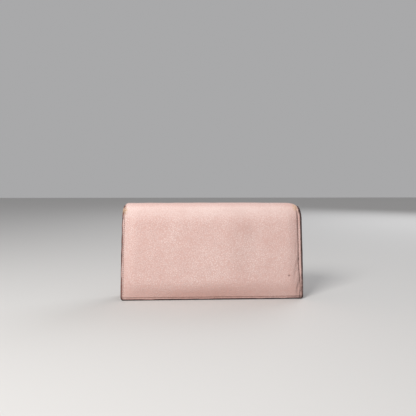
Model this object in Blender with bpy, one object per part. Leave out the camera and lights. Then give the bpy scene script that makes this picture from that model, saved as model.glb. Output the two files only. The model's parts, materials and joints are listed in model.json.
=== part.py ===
"""Long flap wallet, standing upright on its bottom edge with its back panel towards -Y.

Frame: +Z up, X along the wallet's length, origin at the middle of the footprint on the surface
that the wallet stands on. Its layers are listed from the back panel (-Y) to the flap (+Y).
All lengths are in millimetres until new_part turns them into metres.
"""

import math

import bmesh
import bpy
from mathutils import Vector

MM = 0.001

# ---------------------------------------------------------------- driving dimensions
LENGTH = 190.0  # along X, at the bottom edge
HEIGHT = 100.0  # bottom edge to the top of the roll
SHOULDER = 8.0  # outer radius where the cover rolls over the top
TAPER = 1.9  # how much narrower each side is at TAPER_HEIGHT
TAPER_HEIGHT = 88.0
TOP_CORNER = (5.0, 10.0)  # width and height of the rounding at each top corner
CROWN = 1.8  # how far the padded back stands proud of its rim
RIM = 4.0  # flat stitched rim round the padding
CROWN_FADE = 12.0
FLAP_BOTTOM = 19.0
FLAP_CORNER = 10.0
SPLIT_GAP = 0.3  # between two stretches of leather at a fold line
CLEAR = 0.1  # between flat layers
LINING_INSET = 0.8
BOARD_INSET = 4.0
FLOOR = 4.0  # lowest edge of the inner panels

# Layers from the back towards the flap: name, thickness, clear space in front of it.
LAYERS = (
    ("back_cover", 1.1, 0.3),
    ("back_board", 0.7, CLEAR),
    ("back_lining", 0.7, CLEAR),
    ("back_slot_1", 0.5, CLEAR),
    ("back_slot_2", 0.5, CLEAR),
    ("back_slot_3", 0.5, CLEAR),
    ("back_slot_4", 0.5, 4.5),
    ("coin_rear_wall", 0.6, 5.4),
    ("coin_front_wall", 0.6, 4.4),
    ("front_slot_2", 0.4, CLEAR),
    ("front_slot_1", 0.4, CLEAR),
    ("front_lining", 0.6, CLEAR),
    ("front_board", 0.5, CLEAR),
    ("front_cover", 1.0, 1.5),
    ("flap_lining", 0.6, CLEAR),
    ("flap_board", 0.5, CLEAR),
    ("flap_cover", 1.1, 0.0),
)
SNAP_CAP_RISE = 1.2  # the cap's dome above the flap, with its seating gap

# Card slots: height of each row's top edge, first the row next to the lining.
BACK_SLOT_TOPS = (88.0, 77.0, 66.0, 55.0)
FRONT_SLOT_TOPS = (80.0, 68.0)
SLOT_INSET = 5.0
SLOT_CENTRE_GAP = 1.5  # from the middle line to the inner edge of each column
FRONT_LEAF_TOP = 86.0

# Coin pocket and its zip.
COIN_INSET = 3.0
COIN_BOTTOM = 3.2
COIN_TOP = 72.0
ZIP_BAR = (1.2, 2.2)  # each row's backing, measured out from the middle of the pocket
ZIP_HEIGHT = (73.6, 75.6)
ZIP_ENDS = (-78.0, 78.6)
STOP_STARTS = {"zip_bottom_stop": -80.6, "zip_top_stop": 81.4}
STOP_LENGTH = 1.6
TOOTH_PITCH = 3.0
TOOTH_WIDTH = 1.2
TOOTH_TIP = -0.9  # past the middle, between the teeth of the other row
TAPE = 0.4
SLIDER_X = 76.0
SLIDER_HALF = 4.5
PULL_LENGTH = 12.0
PULL_PIVOT_Z = 77.95

# Gussets and base.
GUSSET = 0.6
GUSSET_TOP = 82.0
GUSSET_FOLD = 13.0  # depth of the inner fold from the wallet's side
BASE_THICKNESS = 1.1
BASE_BOARD = (1.2, 1.8)
BASE_INSET = 2.0

# Press stud in the middle of the flap.
SNAP_Z = 30.0
CAP_RADIUS = 6.5
SHANK_RADIUS = 1.2
SOCKET_RADIUS = 4.4
SOCKET_HOLE = 4.8  # radius, in the layers that the socket or the post's head goes through
SHANK_HOLE = 1.5
DRILL_REACH = 40.0  # longer than the wallet is thick
ROUND_STEPS = 20

COLOURS = {
    # material: base colour, roughness, metallic
    "cover_leather": ((0.78, 0.50, 0.44), 0.55, 0.0),
    "lining_leather": ((0.70, 0.42, 0.38), 0.62, 0.0),
    "gusset_leather": ((0.24, 0.09, 0.09), 0.60, 0.0),
    "board": ((0.55, 0.47, 0.38), 0.90, 0.0),
    "padding": ((0.86, 0.83, 0.78), 0.95, 0.0),
    "coin_cloth": ((0.66, 0.56, 0.46), 0.92, 0.0),
    "zip_tape": ((0.42, 0.19, 0.18), 0.85, 0.0),
    "gold_metal": ((0.86, 0.68, 0.42), 0.28, 1.0),
    "spring_steel": ((0.62, 0.62, 0.64), 0.30, 1.0),
}


# ---------------------------------------------------------------- shared geometry
def layer_spans():
    """The first and last Y of each layer, with the whole thickness centred on the origin."""
    stack = sum(thickness + space for _, thickness, space in LAYERS)
    y = CROWN - (CROWN + stack + SNAP_CAP_RISE) / 2
    spans = {}
    for name, thickness, space in LAYERS:
        spans[name] = (y, y + thickness)
        y += thickness + space
    return spans


SPAN = layer_spans()
BACK_Y = SPAN["back_cover"][0]
FLAP_Y = SPAN["flap_cover"][1]
SHOULDER_Z = HEIGHT - SHOULDER
ARC = SHOULDER * math.pi / 2
TOP_RUN = FLAP_Y - BACK_Y - 2 * SHOULDER
BACK_FOLD = SHOULDER_Z + ARC / 2  # distances along the cover line, from the bottom of the back
FRONT_FOLD = SHOULDER_Z + ARC + TOP_RUN + ARC / 2
FLAP_END = SHOULDER_Z + 2 * ARC + TOP_RUN + SHOULDER_Z - FLAP_BOTTOM
COIN_Y = (SPAN["coin_rear_wall"][1] + SPAN["coin_front_wall"][0]) / 2


def smooth(t):
    t = min(max(t, 0.0), 1.0)
    return t * t * (3 - 2 * t)


def half_width(z):
    """Half the wallet's length at height z: it narrows upwards and rounds off at the top corners."""
    half = LENGTH / 2 - TAPER * (max(z, 0.0) / TAPER_HEIGHT) ** 1.7
    wide, tall = TOP_CORNER
    into = (z - (HEIGHT - tall)) / tall
    if into > 0:
        half -= wide * (1 - math.sqrt(max(0.0, 1 - into * into)))
    return half


def crown(inset, z):
    """How far the padded back stands out, at a distance inset from the side and at height z."""
    across = smooth((inset - RIM) / CROWN_FADE)
    up = smooth((z - RIM / 2) / CROWN_FADE)
    down = smooth((SHOULDER_Z - z) / (2 * CROWN_FADE))
    return CROWN * across * up * down


def cover_line(s):
    """(y, z) and outward normal of the cover's outer face at distance s: up the back, over the top
    and down the flap."""
    if s <= SHOULDER_Z:
        return (BACK_Y, s), (-1.0, 0.0)
    s -= SHOULDER_Z
    if s <= ARC:
        turn = math.pi - s / SHOULDER
        out = (math.cos(turn), math.sin(turn))
        return (BACK_Y + SHOULDER + SHOULDER * out[0], SHOULDER_Z + SHOULDER * out[1]), out
    s -= ARC
    if s <= TOP_RUN:
        return (BACK_Y + SHOULDER + s, HEIGHT), (0.0, 1.0)
    s -= TOP_RUN
    if s <= ARC:
        turn = math.pi / 2 - s / SHOULDER
        out = (math.cos(turn), math.sin(turn))
        return (FLAP_Y - SHOULDER + SHOULDER * out[0], SHOULDER_Z + SHOULDER * out[1]), out
    return (FLAP_Y, SHOULDER_Z - (s - ARC)), (1.0, 0.0)


def spaced(low, high, count):
    return [low + (high - low) * i / count for i in range(count + 1)]


def side_edge(inset, low, high, low_round, high_round):
    """(x, z) up the right-hand edge of a panel that follows the wallet's taper."""
    quarter = spaced(0.0, math.pi / 2, 4)
    points = []
    for turn in quarter if low_round else quarter[:1]:
        z = low + low_round * (1 - math.cos(turn))
        points.append((half_width(z) - inset - low_round * (1 - math.sin(turn)), z))
    for z in spaced(low + low_round, high - high_round, 4)[1:-1]:
        points.append((half_width(z) - inset, z))
    for turn in quarter if high_round else quarter[:1]:
        z = high - high_round * (1 - math.sin(turn))
        points.append((half_width(z) - inset - high_round * (1 - math.cos(turn)), z))
    return points


def thick_line(points, thickness):
    """Closed outline of a bent strip, from the points along its middle."""
    left, right = [], []
    steps = [(Vector(b) - Vector(a)).normalized() for a, b in zip(points, points[1:])]
    for point, behind, ahead in zip(points, steps[:1] + steps, steps + steps[-1:]):
        mean = (ahead + behind).normalized()
        across = Vector((-mean.y, mean.x))
        reach = thickness / 2 / max(mean.dot(ahead), 0.25)
        left.append(Vector(point) + across * reach)
        right.append(Vector(point) - across * reach)
    return [tuple(p) for p in left + right[::-1]]


# ---------------------------------------------------------------- scene and materials
def clear_scene():
    for item in list(bpy.data.objects):
        bpy.data.objects.remove(item, do_unlink=True)


def make_material(name):
    colour, roughness, metallic = COLOURS[name]
    material = bpy.data.materials.new(name)
    material.use_nodes = True
    shader = material.node_tree.nodes["Principled BSDF"]
    shader.inputs["Base Color"].default_value = (*colour, 1.0)
    shader.inputs["Roughness"].default_value = roughness
    shader.inputs["Metallic"].default_value = metallic
    return material


clear_scene()
MATERIALS = {name: make_material(name) for name in COLOURS}


def make_body(name, pivot, parent=None):
    """An empty on a joint's axis. The pieces that move together are its children."""
    empty = bpy.data.objects.new(name, None)
    empty.empty_display_size = 0.01
    bpy.context.scene.collection.objects.link(empty)
    empty["pivot"] = pivot
    if parent:
        empty.parent = parent
    base = Vector(parent["pivot"]) if parent else Vector()
    empty.location = (Vector(pivot) - base) * MM
    return empty


def new_part(name, bm, material, body, helper=False):
    """An object from a bmesh drawn in millimetres in the wallet's frame."""
    pivot = Vector(body["pivot"])
    bmesh.ops.recalc_face_normals(bm, faces=bm.faces)
    bmesh.ops.translate(bm, verts=bm.verts, vec=-pivot)
    bmesh.ops.scale(bm, verts=bm.verts, vec=(MM, MM, MM))
    mesh = bpy.data.meshes.new(name)
    bm.to_mesh(mesh)
    bm.free()
    mesh.materials.append(MATERIALS[material])
    part = bpy.data.objects.new(name, mesh)
    part.parent = body
    part.hide_render = helper
    part.display_type = "WIRE" if helper else "TEXTURED"
    bpy.context.scene.collection.objects.link(part)
    return part


def joined(target, other, operation):
    """Adds a Boolean with a helper object to the target."""
    modifier = target.modifiers.new(other.name, "BOOLEAN")
    modifier.operation = operation
    modifier.solver = "EXACT"
    modifier.object = other
    return target


# ---------------------------------------------------------------- shape builders, as bmesh
def prism(outline, axis, low, high):
    """The outline pushed from low to high along an axis. Its points are (y, z), (x, z) or (x, y)."""
    order = {"X": (2, 0, 1), "Y": (0, 2, 1), "Z": (0, 1, 2)}[axis]
    bm = bmesh.new()
    corners = []
    for point in outline:
        whole = (*point, low)
        corners.append(bm.verts.new([whole[i] for i in order]))
    face = bm.faces.new(corners)
    grown = bmesh.ops.extrude_face_region(bm, geom=[face])["geom"]
    moved = [item for item in grown if isinstance(item, bmesh.types.BMVert)]
    step = [0.0, 0.0, 0.0]
    step["XYZ".index(axis)] = high - low
    bmesh.ops.translate(bm, verts=moved, vec=step)
    return bm


def block(x, y, z):
    return prism([(x[0], y[0]), (x[1], y[0]), (x[1], y[1]), (x[0], y[1])], "Z", *z)


def thick_sheet(outer, inner):
    """A closed sheet between two grids of points with the same rows and columns."""
    bm = bmesh.new()
    front = [[bm.verts.new(p) for p in row] for row in outer]
    back = [[bm.verts.new(p) for p in row] for row in inner]
    rows, columns = len(front), len(front[0])
    for i in range(rows - 1):
        for j in range(columns - 1):
            for grid in (front, back):
                bm.faces.new((grid[i][j], grid[i][j + 1], grid[i + 1][j + 1], grid[i + 1][j]))
    ring = [(0, j) for j in range(columns - 1)]
    ring += [(i, columns - 1) for i in range(rows - 1)]
    ring += [(rows - 1, j) for j in range(columns - 1, 0, -1)]
    ring += [(i, 0) for i in range(rows - 1, 0, -1)]
    for (a, b), (c, d) in zip(ring, ring[1:] + ring[:1]):
        bm.faces.new((front[a][b], front[c][d], back[c][d], back[a][b]))
    return bm


def band(stations, outer, inner, columns=((-1, 0.0), (1, 0.0)), narrow=None):
    """A sheet that follows the cover line. outer and inner give its depth below the cover's face at
    (s, inset from the side), and each column is (side, inset from the side)."""
    grids = ([], [])
    for s in stations:
        (y, z), (out_y, out_z) = cover_line(s)
        half = half_width(z) - (narrow(s) if narrow else 0.0)
        for grid, depth in zip(grids, (outer, inner)):
            row = []
            for side, inset in columns:
                down = depth(s, inset)
                row.append((side * (half - inset), y - down * out_y, z - down * out_z))
            grid.append(row)
    return thick_sheet(*grids)


def turned(profile, x, z, sweep=360.0):
    """A (radius, y) profile turned about an axis along Y. One that starts and ends on the axis is
    closed by it, and any other is a ring."""
    bm = bmesh.new()
    points = [bm.verts.new((x + radius, y, z)) for radius, y in profile]
    on_axis = profile[0][0] == 0 and profile[-1][0] == 0
    for a, b in zip(points, points[1:] + ([] if on_axis else points[:1])):
        bm.edges.new((a, b))
    bmesh.ops.spin(
        bm,
        geom=bm.verts[:] + bm.edges[:],
        cent=(x, 0, z),
        axis=(0, 1, 0),
        angle=math.radians(sweep),
        steps=ROUND_STEPS,
        use_merge=sweep == 360.0,
    )
    bmesh.ops.remove_doubles(bm, verts=bm.verts, dist=1e-4)
    if sweep != 360.0:
        bmesh.ops.holes_fill(bm, edges=[e for e in bm.edges if e.is_boundary])
    return bm


def side_sweep(outline, side, low, high):
    """An outline in (inset from the side, y), swept up the tapering side of the wallet."""
    bm = bmesh.new()
    rings = []
    for z in spaced(low, high, 4):
        rings.append([bm.verts.new((side * (half_width(z) - inset), y, z)) for inset, y in outline])
    for lower, upper in zip(rings, rings[1:]):
        for i, vertex in enumerate(lower):
            bm.faces.new((vertex, lower[i - 1], upper[i - 1], upper[i]))
    bm.faces.new(rings[0])
    bm.faces.new(rings[-1])
    return bm


def whole_panel(name, layer, material, body, inset, low, high, low_round, high_round):
    """A flat panel across the wallet, in one layer of the stack."""
    right = side_edge(inset, low, high, low_round, high_round)
    outline = right + [(-x, z) for x, z in reversed(right)]
    return new_part(name, prism(outline, "Y", *SPAN[layer]), material, body)


def half_panel(name, layer, material, body, side, inset, low, high, rounding):
    """A flat panel on one side of the wallet's middle line."""
    edge = side_edge(inset, low, high, rounding, rounding)
    outline = [(side * x, z) for x, z in edge + [(SLOT_CENTRE_GAP, high), (SLOT_CENTRE_GAP, low)]]
    return new_part(name, prism(outline, "Y", *SPAN[layer]), material, body)


def drill(part, radius, x, z):
    """A round hole along Y, right through the part."""
    name = part.name + "_hole_cutter"
    profile = [(0.0, -DRILL_REACH), (radius, -DRILL_REACH), (radius, DRILL_REACH), (0.0, DRILL_REACH)]
    cutter = new_part(name, turned(profile, x, z), "board", part.parent, helper=True)
    return joined(part, cutter, "DIFFERENCE")


# ---------------------------------------------------------------- bodies on their joint axes
def fold_axis(s):
    (y, z), _ = cover_line(s)
    return (0.0, y, z)


FRONT_HINGE = (0.0, SPAN["front_cover"][1], 0.0)
COIN_HINGE = (0.0, COIN_Y, COIN_BOTTOM)
SLIDER_ORIGIN = (SLIDER_X, COIN_Y, ZIP_HEIGHT[1])
PULL_HINGE = (SLIDER_X, COIN_Y, PULL_PIVOT_Z)

BACK = make_body("back_body", (0.0, 0.0, 0.0))
SPINE = make_body("spine_body", fold_axis(BACK_FOLD), BACK)
FLAP = make_body("flap_body", fold_axis(FRONT_FOLD), SPINE)
FRONT = make_body("front_leaf_body", FRONT_HINGE, BACK)
COIN = make_body("coin_pocket_body", COIN_HINGE, BACK)
SLIDER = make_body("zip_slider_body", SLIDER_ORIGIN, COIN)
PULL = make_body("zip_pull_body", PULL_HINGE, SLIDER)


# ---------------------------------------------------------------- back: cover, padding, board
CROWN_INSETS = (0.0, 4.0, 7.0, 10.0, 13.0, 16.0, 50.0)
CROWN_HEIGHTS = (0.0, 2.0, 5.0, 8.0, 11.0, 14.0, 42.0, 68.0, 74.0, 80.0, 86.0, SHOULDER_Z)


def crown_columns(first):
    """Columns from side to side, from the first-th inset on, shared by the cover and its padding."""
    left = [(-1, inset) for inset in CROWN_INSETS[first:]]
    return left + [(-side, inset) for side, inset in reversed(left)]


def make_back_cover():
    end = BACK_FOLD - SPLIT_GAP / 2
    stations = list(CROWN_HEIGHTS) + spaced(SHOULDER_Z, end, 3)[1:]
    thickness = SPAN["back_cover"][1] - BACK_Y

    def outer(s, inset):
        return -crown(inset, s)

    def inner(s, inset):
        return thickness - crown(inset, s)

    sheet = band(stations, outer, inner, crown_columns(0))
    return new_part("back_cover", sheet, "cover_leather", BACK)


def make_back_padding():
    """Foam between the cover and the board, thickest in the middle."""
    under_cover = SPAN["back_cover"][1] - BACK_Y + CLEAR
    over_board = SPAN["back_board"][0] - BACK_Y - CLEAR

    def outer(s, inset):
        return under_cover - crown(inset, s)

    def inner(s, inset):
        return over_board

    sheet = band(CROWN_HEIGHTS[2:-1], outer, inner, crown_columns(2))
    return new_part("back_padding", sheet, "padding", BACK)


def lining_depth(layer, fold):
    """Depth of a lining, which rises to the spine lining's depth round the shoulder by its fold."""
    flat = min(abs(SPAN[layer][0] - BACK_Y), abs(FLAP_Y - SPAN[layer][1]))
    top = SPAN["back_cover"][1] - BACK_Y + CLEAR

    def depth(s, inset):
        near = smooth(1 - abs(s - fold) / (ARC / 2))
        return flat + (top - flat) * near

    return depth


def deeper(depth, thickness):
    return lambda s, inset: depth(s, inset) + thickness


def make_back_lining():
    depth = lining_depth("back_lining", BACK_FOLD)
    low, high = SPAN["back_lining"]
    stations = spaced(FLOOR / 2, SHOULDER_Z, 4) + spaced(SHOULDER_Z, BACK_FOLD - SPLIT_GAP / 2, 4)[1:]
    columns = ((-1, LINING_INSET), (1, LINING_INSET))
    sheet = band(stations, depth, deeper(depth, high - low), columns)
    return new_part("back_lining", sheet, "lining_leather", BACK)


def make_base():
    """The leather bottom between the back cover and the front leaf, with a stiffener on it."""
    half = LENGTH / 2 - BASE_INSET
    rear = SPAN["back_cover"][1] + 0.2
    front = SPAN["front_slot_2"][0] - 0.3
    panel = block((-half, half), (rear, front), (0.0, BASE_THICKNESS))
    new_part("base_panel", panel, "cover_leather", BACK)
    board = block((-half + 3, half - 3), (rear + 2, front - 1), BASE_BOARD)
    new_part("base_board", board, "board", BACK)


def make_card_slots():
    """Two columns of overlapping slots on the back lining and on the front leaf."""
    sides = {"left": -1, "right": 1}
    for label, side in sides.items():
        for row, top in enumerate(BACK_SLOT_TOPS, 1):
            name = f"card_slot_back_{label}_{row}"
            layer = f"back_slot_{row}"
            half_panel(name, layer, "lining_leather", BACK, side, SLOT_INSET, FLOOR, top, 2.0)
        for row, top in enumerate(FRONT_SLOT_TOPS, 1):
            name = f"card_slot_front_{label}_{row}"
            layer = f"front_slot_{row}"
            half_panel(name, layer, "lining_leather", FRONT, side, SLOT_INSET, FLOOR, top, 2.0)


# ---------------------------------------------------------------- gussets
def gusset_outline(panel_face, slot_face, pocket_face):
    """Plan of one folded side wall: flat on a panel, clear of its card slots, in to the fold and
    back out onto the coin pocket."""
    step = 1 if pocket_face > panel_face else -1
    lift = step * (CLEAR + GUSSET / 2)
    middle = (slot_face + pocket_face) / 2
    line = [
        (1.2, panel_face + lift),
        (4.4, panel_face + lift),
        (4.4, slot_face + lift),
        (GUSSET_FOLD, middle),
        (8.0, pocket_face - lift),
        (COIN_INSET + 0.4, pocket_face - lift),
    ]
    return thick_line(line, GUSSET)


def make_gussets():
    rear = gusset_outline(
        SPAN["back_lining"][1], SPAN["back_slot_4"][1], SPAN["coin_rear_wall"][0]
    )
    front = gusset_outline(
        SPAN["front_lining"][0], SPAN["front_slot_2"][0], SPAN["coin_front_wall"][1]
    )
    for label, side in (("left", -1), ("right", 1)):
        for place, outline, body in (("rear", rear, BACK), ("front", front, FRONT)):
            sweep = side_sweep(outline, side, FLOOR, GUSSET_TOP)
            new_part(f"gusset_{label}_{place}", sweep, "gusset_leather", body)


# ---------------------------------------------------------------- spine and flap
def make_spine():
    stations = spaced(BACK_FOLD + SPLIT_GAP / 2, SHOULDER_Z + ARC, 3)
    stations += spaced(SHOULDER_Z + ARC + TOP_RUN, FRONT_FOLD - SPLIT_GAP / 2, 3)
    cover = SPAN["back_cover"][1] - BACK_Y
    depth = cover + CLEAR
    sheet = band(stations, lambda s, inset: 0.0, lambda s, inset: cover)
    new_part("spine_cover", sheet, "cover_leather", SPINE)
    columns = ((-1, LINING_INSET), (1, LINING_INSET))
    lining = band(stations, lambda s, inset: depth, lambda s, inset: depth + 0.6, columns)
    new_part("spine_lining", lining, "lining_leather", SPINE)


def flap_stations(margin):
    """Stations down the flap to margin above its bottom edge, close together round its corners."""
    end = FLAP_END - margin
    arc_end = SHOULDER_Z + 2 * ARC + TOP_RUN
    stations = spaced(FRONT_FOLD + SPLIT_GAP / 2, arc_end, 3)
    stations += spaced(arc_end, end - FLAP_CORNER, 3)[1:]
    for turn in spaced(0.0, math.pi / 2, 5)[1:]:
        stations.append(end - FLAP_CORNER * (1 - math.sin(turn)))
    return stations


def flap_corner(margin):
    """How much the rounded bottom corners take off each side."""
    end = FLAP_END - margin

    def narrow(s):
        into = (s - (end - FLAP_CORNER)) / FLAP_CORNER
        if into <= 0:
            return 0.0
        return FLAP_CORNER * (1 - math.sqrt(max(0.0, 1 - into * into)))

    return narrow


def make_flap():
    cover = FLAP_Y - SPAN["flap_cover"][0]
    sheet = band(
        flap_stations(0.0), lambda s, inset: 0.0, lambda s, inset: cover, narrow=flap_corner(0.0)
    )
    drill(new_part("flap_cover", sheet, "cover_leather", FLAP), SHANK_HOLE, 0.0, SNAP_Z)

    depth = lining_depth("flap_lining", FRONT_FOLD)
    low, high = SPAN["flap_lining"]
    sheet = band(
        flap_stations(LINING_INSET),
        depth,
        deeper(depth, high - low),
        ((-1, LINING_INSET), (1, LINING_INSET)),
        flap_corner(LINING_INSET),
    )
    drill(new_part("flap_lining", sheet, "lining_leather", FLAP), SOCKET_HOLE, 0.0, SNAP_Z)

    board = whole_panel(
        "flap_board", "flap_board", "board", FLAP, BOARD_INSET, FLAP_BOTTOM + 4, SHOULDER_Z - 3, 8.0, 2.0
    )
    drill(board, SOCKET_HOLE, 0.0, SNAP_Z)


# ---------------------------------------------------------------- front leaf
def make_front_leaf():
    cover = whole_panel(
        "front_cover", "front_cover", "cover_leather", FRONT, 0.0, 0.0, FRONT_LEAF_TOP, 1.0, 4.0
    )
    drill(cover, SHANK_HOLE, 0.0, SNAP_Z)
    board = whole_panel(
        "front_board", "front_board", "board", FRONT, BOARD_INSET, FLOOR, FRONT_LEAF_TOP - 4, 2.0, 2.0
    )
    drill(board, SOCKET_HOLE, 0.0, SNAP_Z)
    whole_panel(
        "front_lining", "front_lining", "lining_leather", FRONT, LINING_INSET, 2.0, FRONT_LEAF_TOP, 1.0, 4.0
    )


# ---------------------------------------------------------------- press stud
def make_snap():
    """Cap, socket and spring on the flap; stud and its post on the front leaf."""
    cover_face = FLAP_Y + CLEAR
    rise = SNAP_CAP_RISE - CLEAR
    dome = []
    for turn in spaced(0.0, math.pi / 2, 5):
        dome.append((CAP_RADIUS * math.cos(turn), cover_face + 0.3 + (rise - 0.3) * math.sin(turn)))
    shank_end = SPAN["flap_cover"][0] - CLEAR
    cap = [(0.0, shank_end), (SHANK_RADIUS, shank_end), (SHANK_RADIUS, cover_face)]
    cap += [(CAP_RADIUS, cover_face)]
    cap += dome[:-1] + [(0.0, cover_face + rise)]
    new_part("snap_cap", turned(cap, 0.0, SNAP_Z), "gold_metal", FLAP)

    mouth = SPAN["front_cover"][1] + 0.45
    seat = shank_end - CLEAR
    roof = seat - 0.4
    socket = [
        (0.0, roof),
        (3.4, roof),
        (3.4, mouth + 0.5),
        (2.7, mouth + 0.5),
        (2.7, mouth),
        (SOCKET_RADIUS, mouth),
        (SOCKET_RADIUS, seat),
        (0.0, seat),
    ]
    new_part("snap_socket", turned(socket, 0.0, SNAP_Z), "gold_metal", FLAP)
    spring = [(2.5, mouth + 0.6), (3.1, mouth + 0.6), (3.1, mouth + 1.0), (2.5, mouth + 1.0)]
    new_part("snap_spring", turned(spring, 0.0, SNAP_Z, 320.0), "spring_steel", FLAP)

    foot = SPAN["front_cover"][1] + CLEAR
    tip = roof - 0.2
    stud = [
        (1.3, foot),
        (4.2, foot),
        (4.2, foot + 0.25),
        (1.8, foot + 0.25),
        (1.8, tip - 0.6),
        (2.2, tip - 0.4),
        (2.2, tip - 0.1),
        (1.9, tip),
        (1.3, tip),
    ]
    new_part("snap_stud", turned(stud, 0.0, SNAP_Z), "gold_metal", FRONT)
    board_low, board_high = SPAN["front_board"]
    post = [
        (0.0, board_low),
        (SOCKET_RADIUS, board_low),
        (SOCKET_RADIUS, board_high),
        (1.0, board_high),
        (1.0, tip - 0.1),
        (0.0, tip - 0.1),
    ]
    new_part("snap_post", turned(post, 0.0, SNAP_Z), "gold_metal", FRONT)


# ---------------------------------------------------------------- coin pocket
def make_coin_pocket():
    for wall in ("coin_rear_wall", "coin_front_wall"):
        whole_panel(wall, wall, "lining_leather", COIN, COIN_INSET, COIN_BOTTOM, COIN_TOP, 2.0, 3.0)
    rear = SPAN["coin_rear_wall"][1]
    front = SPAN["coin_front_wall"][0]
    inner_half = half_width(COIN_BOTTOM) - COIN_INSET - 3
    floor = block((-inner_half, inner_half), (rear + CLEAR, front - CLEAR), (COIN_BOTTOM, 3.8))
    new_part("coin_floor", floor, "lining_leather", COIN)
    strip = [(3.2, rear + CLEAR), (3.8, rear + CLEAR), (3.8, front - CLEAR), (3.2, front - CLEAR)]
    for label, side in (("left", -1), ("right", 1)):
        sweep = side_sweep(strip, side, COIN_BOTTOM + 2, COIN_TOP - 3)
        new_part(f"coin_side_{label}", sweep, "lining_leather", COIN)
    cloth_half = half_width(COIN_TOP) - 6
    for label, near, far in (
        ("rear", rear + CLEAR, rear + CLEAR + 0.3),
        ("front", front - CLEAR - 0.3, front - CLEAR),
    ):
        cloth = block((-cloth_half, cloth_half), (near, far), (5.0, COIN_TOP - 11))
        new_part(f"coin_lining_{label}", cloth, "coin_cloth", COIN)


# ---------------------------------------------------------------- zip
def comb_outline(away, first):
    """One row of the zip seen from above: a bar with teeth towards the other row. away is -1 for
    the rear row and 1 for the front row."""
    bar_near, bar_far = (COIN_Y + away * y for y in ZIP_BAR)
    tip = COIN_Y + away * TOOTH_TIP
    outline = [(ZIP_ENDS[1], bar_near), (ZIP_ENDS[1], bar_far)]
    outline += [(ZIP_ENDS[0], bar_far), (ZIP_ENDS[0], bar_near)]
    x = ZIP_ENDS[0] + first
    while x + TOOTH_WIDTH < ZIP_ENDS[1] - 0.2:
        outline += [(x, bar_near), (x + 0.2, tip), (x + TOOTH_WIDTH - 0.2, tip)]
        outline.append((x + TOOTH_WIDTH, bar_near))
        x += TOOTH_PITCH
    return outline


def make_zip():
    tape_half = half_width(COIN_TOP) - 8
    inner = COIN_Y - SPAN["coin_rear_wall"][1]  # half the pocket's inner width
    tape_line = [
        (1.5, ZIP_HEIGHT[0] - 0.3),
        (1.5, COIN_TOP - 0.5),
        (inner - 0.4, COIN_TOP - 2.5),
        (inner - 0.4, COIN_TOP - 9),
    ]
    for label, away, first in (("rear", -1, 0.3), ("front", 1, 0.3 + TOOTH_PITCH / 2)):
        line = [(COIN_Y + away * y, z) for y, z in tape_line]
        tape = prism(thick_line(line, TAPE), "X", -tape_half, tape_half)
        new_part(f"zip_tape_{label}", tape, "zip_tape", COIN)
        comb = prism(comb_outline(away, first), "Z", *ZIP_HEIGHT)
        new_part(f"zip_teeth_{label}", comb, "gold_metal", COIN)
    reach = ZIP_BAR[1]
    height = (ZIP_HEIGHT[0] - 0.1, ZIP_HEIGHT[1] + 0.2)
    for name, start in STOP_STARTS.items():
        stop = block((start, start + STOP_LENGTH), (COIN_Y - reach, COIN_Y + reach), height)
        new_part(name, stop, "gold_metal", COIN)


def around_middle(half_outline):
    """A whole outline from its half: points (distance from the pocket's middle, z)."""
    right = [(COIN_Y + y, z) for y, z in half_outline]
    left = [(COIN_Y - y, z) for y, z in reversed(half_outline)]
    return right + left


def make_slider():
    """Top plate with flanges round both rows, a wedge ahead of the last teeth, a lower plate
    between the tapes and a bridge for the pull."""
    low, high = ZIP_HEIGHT
    ends = (SLIDER_X - SLIDER_HALF, SLIDER_X + SLIDER_HALF)
    channel = [
        (0.0, high + 1.4),
        (2.6, high + 1.4),
        (3.1, high + 0.9),
        (3.1, low - 0.9),
        (2.0, low - 0.9),
        (2.0, low - 0.3),
        (2.5, low - 0.3),
        (2.5, high + 0.3),
        (0.0, high + 0.3),
    ]
    outline = around_middle(channel)[:-1]
    outline.remove((COIN_Y, high + 0.3))
    body = new_part("zip_slider", prism(outline, "X", *ends), "gold_metal", SLIDER)
    plate = block(ends, (COIN_Y - 0.9, COIN_Y + 0.9), (low - 1.2, low - 0.4))
    wedge_x = ends[1] - 1.0
    wedge = block(
        (wedge_x - 0.4, wedge_x + 0.6), (COIN_Y - 0.6, COIN_Y + 0.6), (low - 1.0, high + 0.8)
    )
    top = high + 1.4
    arch = [(-3.0, top - 0.4), (-3.0, top + 1.6), (-2.2, top + 2.6), (2.2, top + 2.6)]
    arch += [(3.0, top + 1.6), (3.0, top - 0.4), (2.1, top - 0.4), (2.1, top + 1.5)]
    arch += [(1.7, top + 1.8), (-1.7, top + 1.8), (-2.1, top + 1.5), (-2.1, top - 0.4)]
    bridge = prism([(SLIDER_X + x, z) for x, z in arch], "Y", COIN_Y - 0.6, COIN_Y + 0.6)
    for name, shape in (("lower_plate", plate), ("wedge", wedge), ("bridge", bridge)):
        helper = new_part(f"zip_slider_{name}", shape, "gold_metal", SLIDER, helper=True)
        joined(body, helper, "UNION")


def make_pull():
    """A flat tab whose crossbar turns under the slider's bridge."""
    x = PULL_HINGE[0]
    neck, wide = 1.9, 2.3
    outline = [(x - 0.45, -neck), (x + 5.0, -neck)]
    for turn in spaced(-math.pi / 2, math.pi / 2, 8):
        outline.append((x + PULL_LENGTH - wide + wide * math.cos(turn), wide * math.sin(turn)))
    outline += [(x + 5.0, neck), (x - 0.45, neck)]
    outline = [(px, COIN_Y + py) for px, py in outline]
    height = (PULL_PIVOT_Z - 0.45, PULL_PIVOT_Z + 0.45)
    pull = new_part("zip_pull", prism(outline, "Z", *height), "gold_metal", PULL)
    eye = block((x + 0.45, x + 4.2), (COIN_Y - 0.9, COIN_Y + 0.9), (height[0] - 1, height[1] + 1))
    cutter = new_part("zip_pull_eye_cutter", eye, "gold_metal", PULL, helper=True)
    joined(pull, cutter, "DIFFERENCE")


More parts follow.
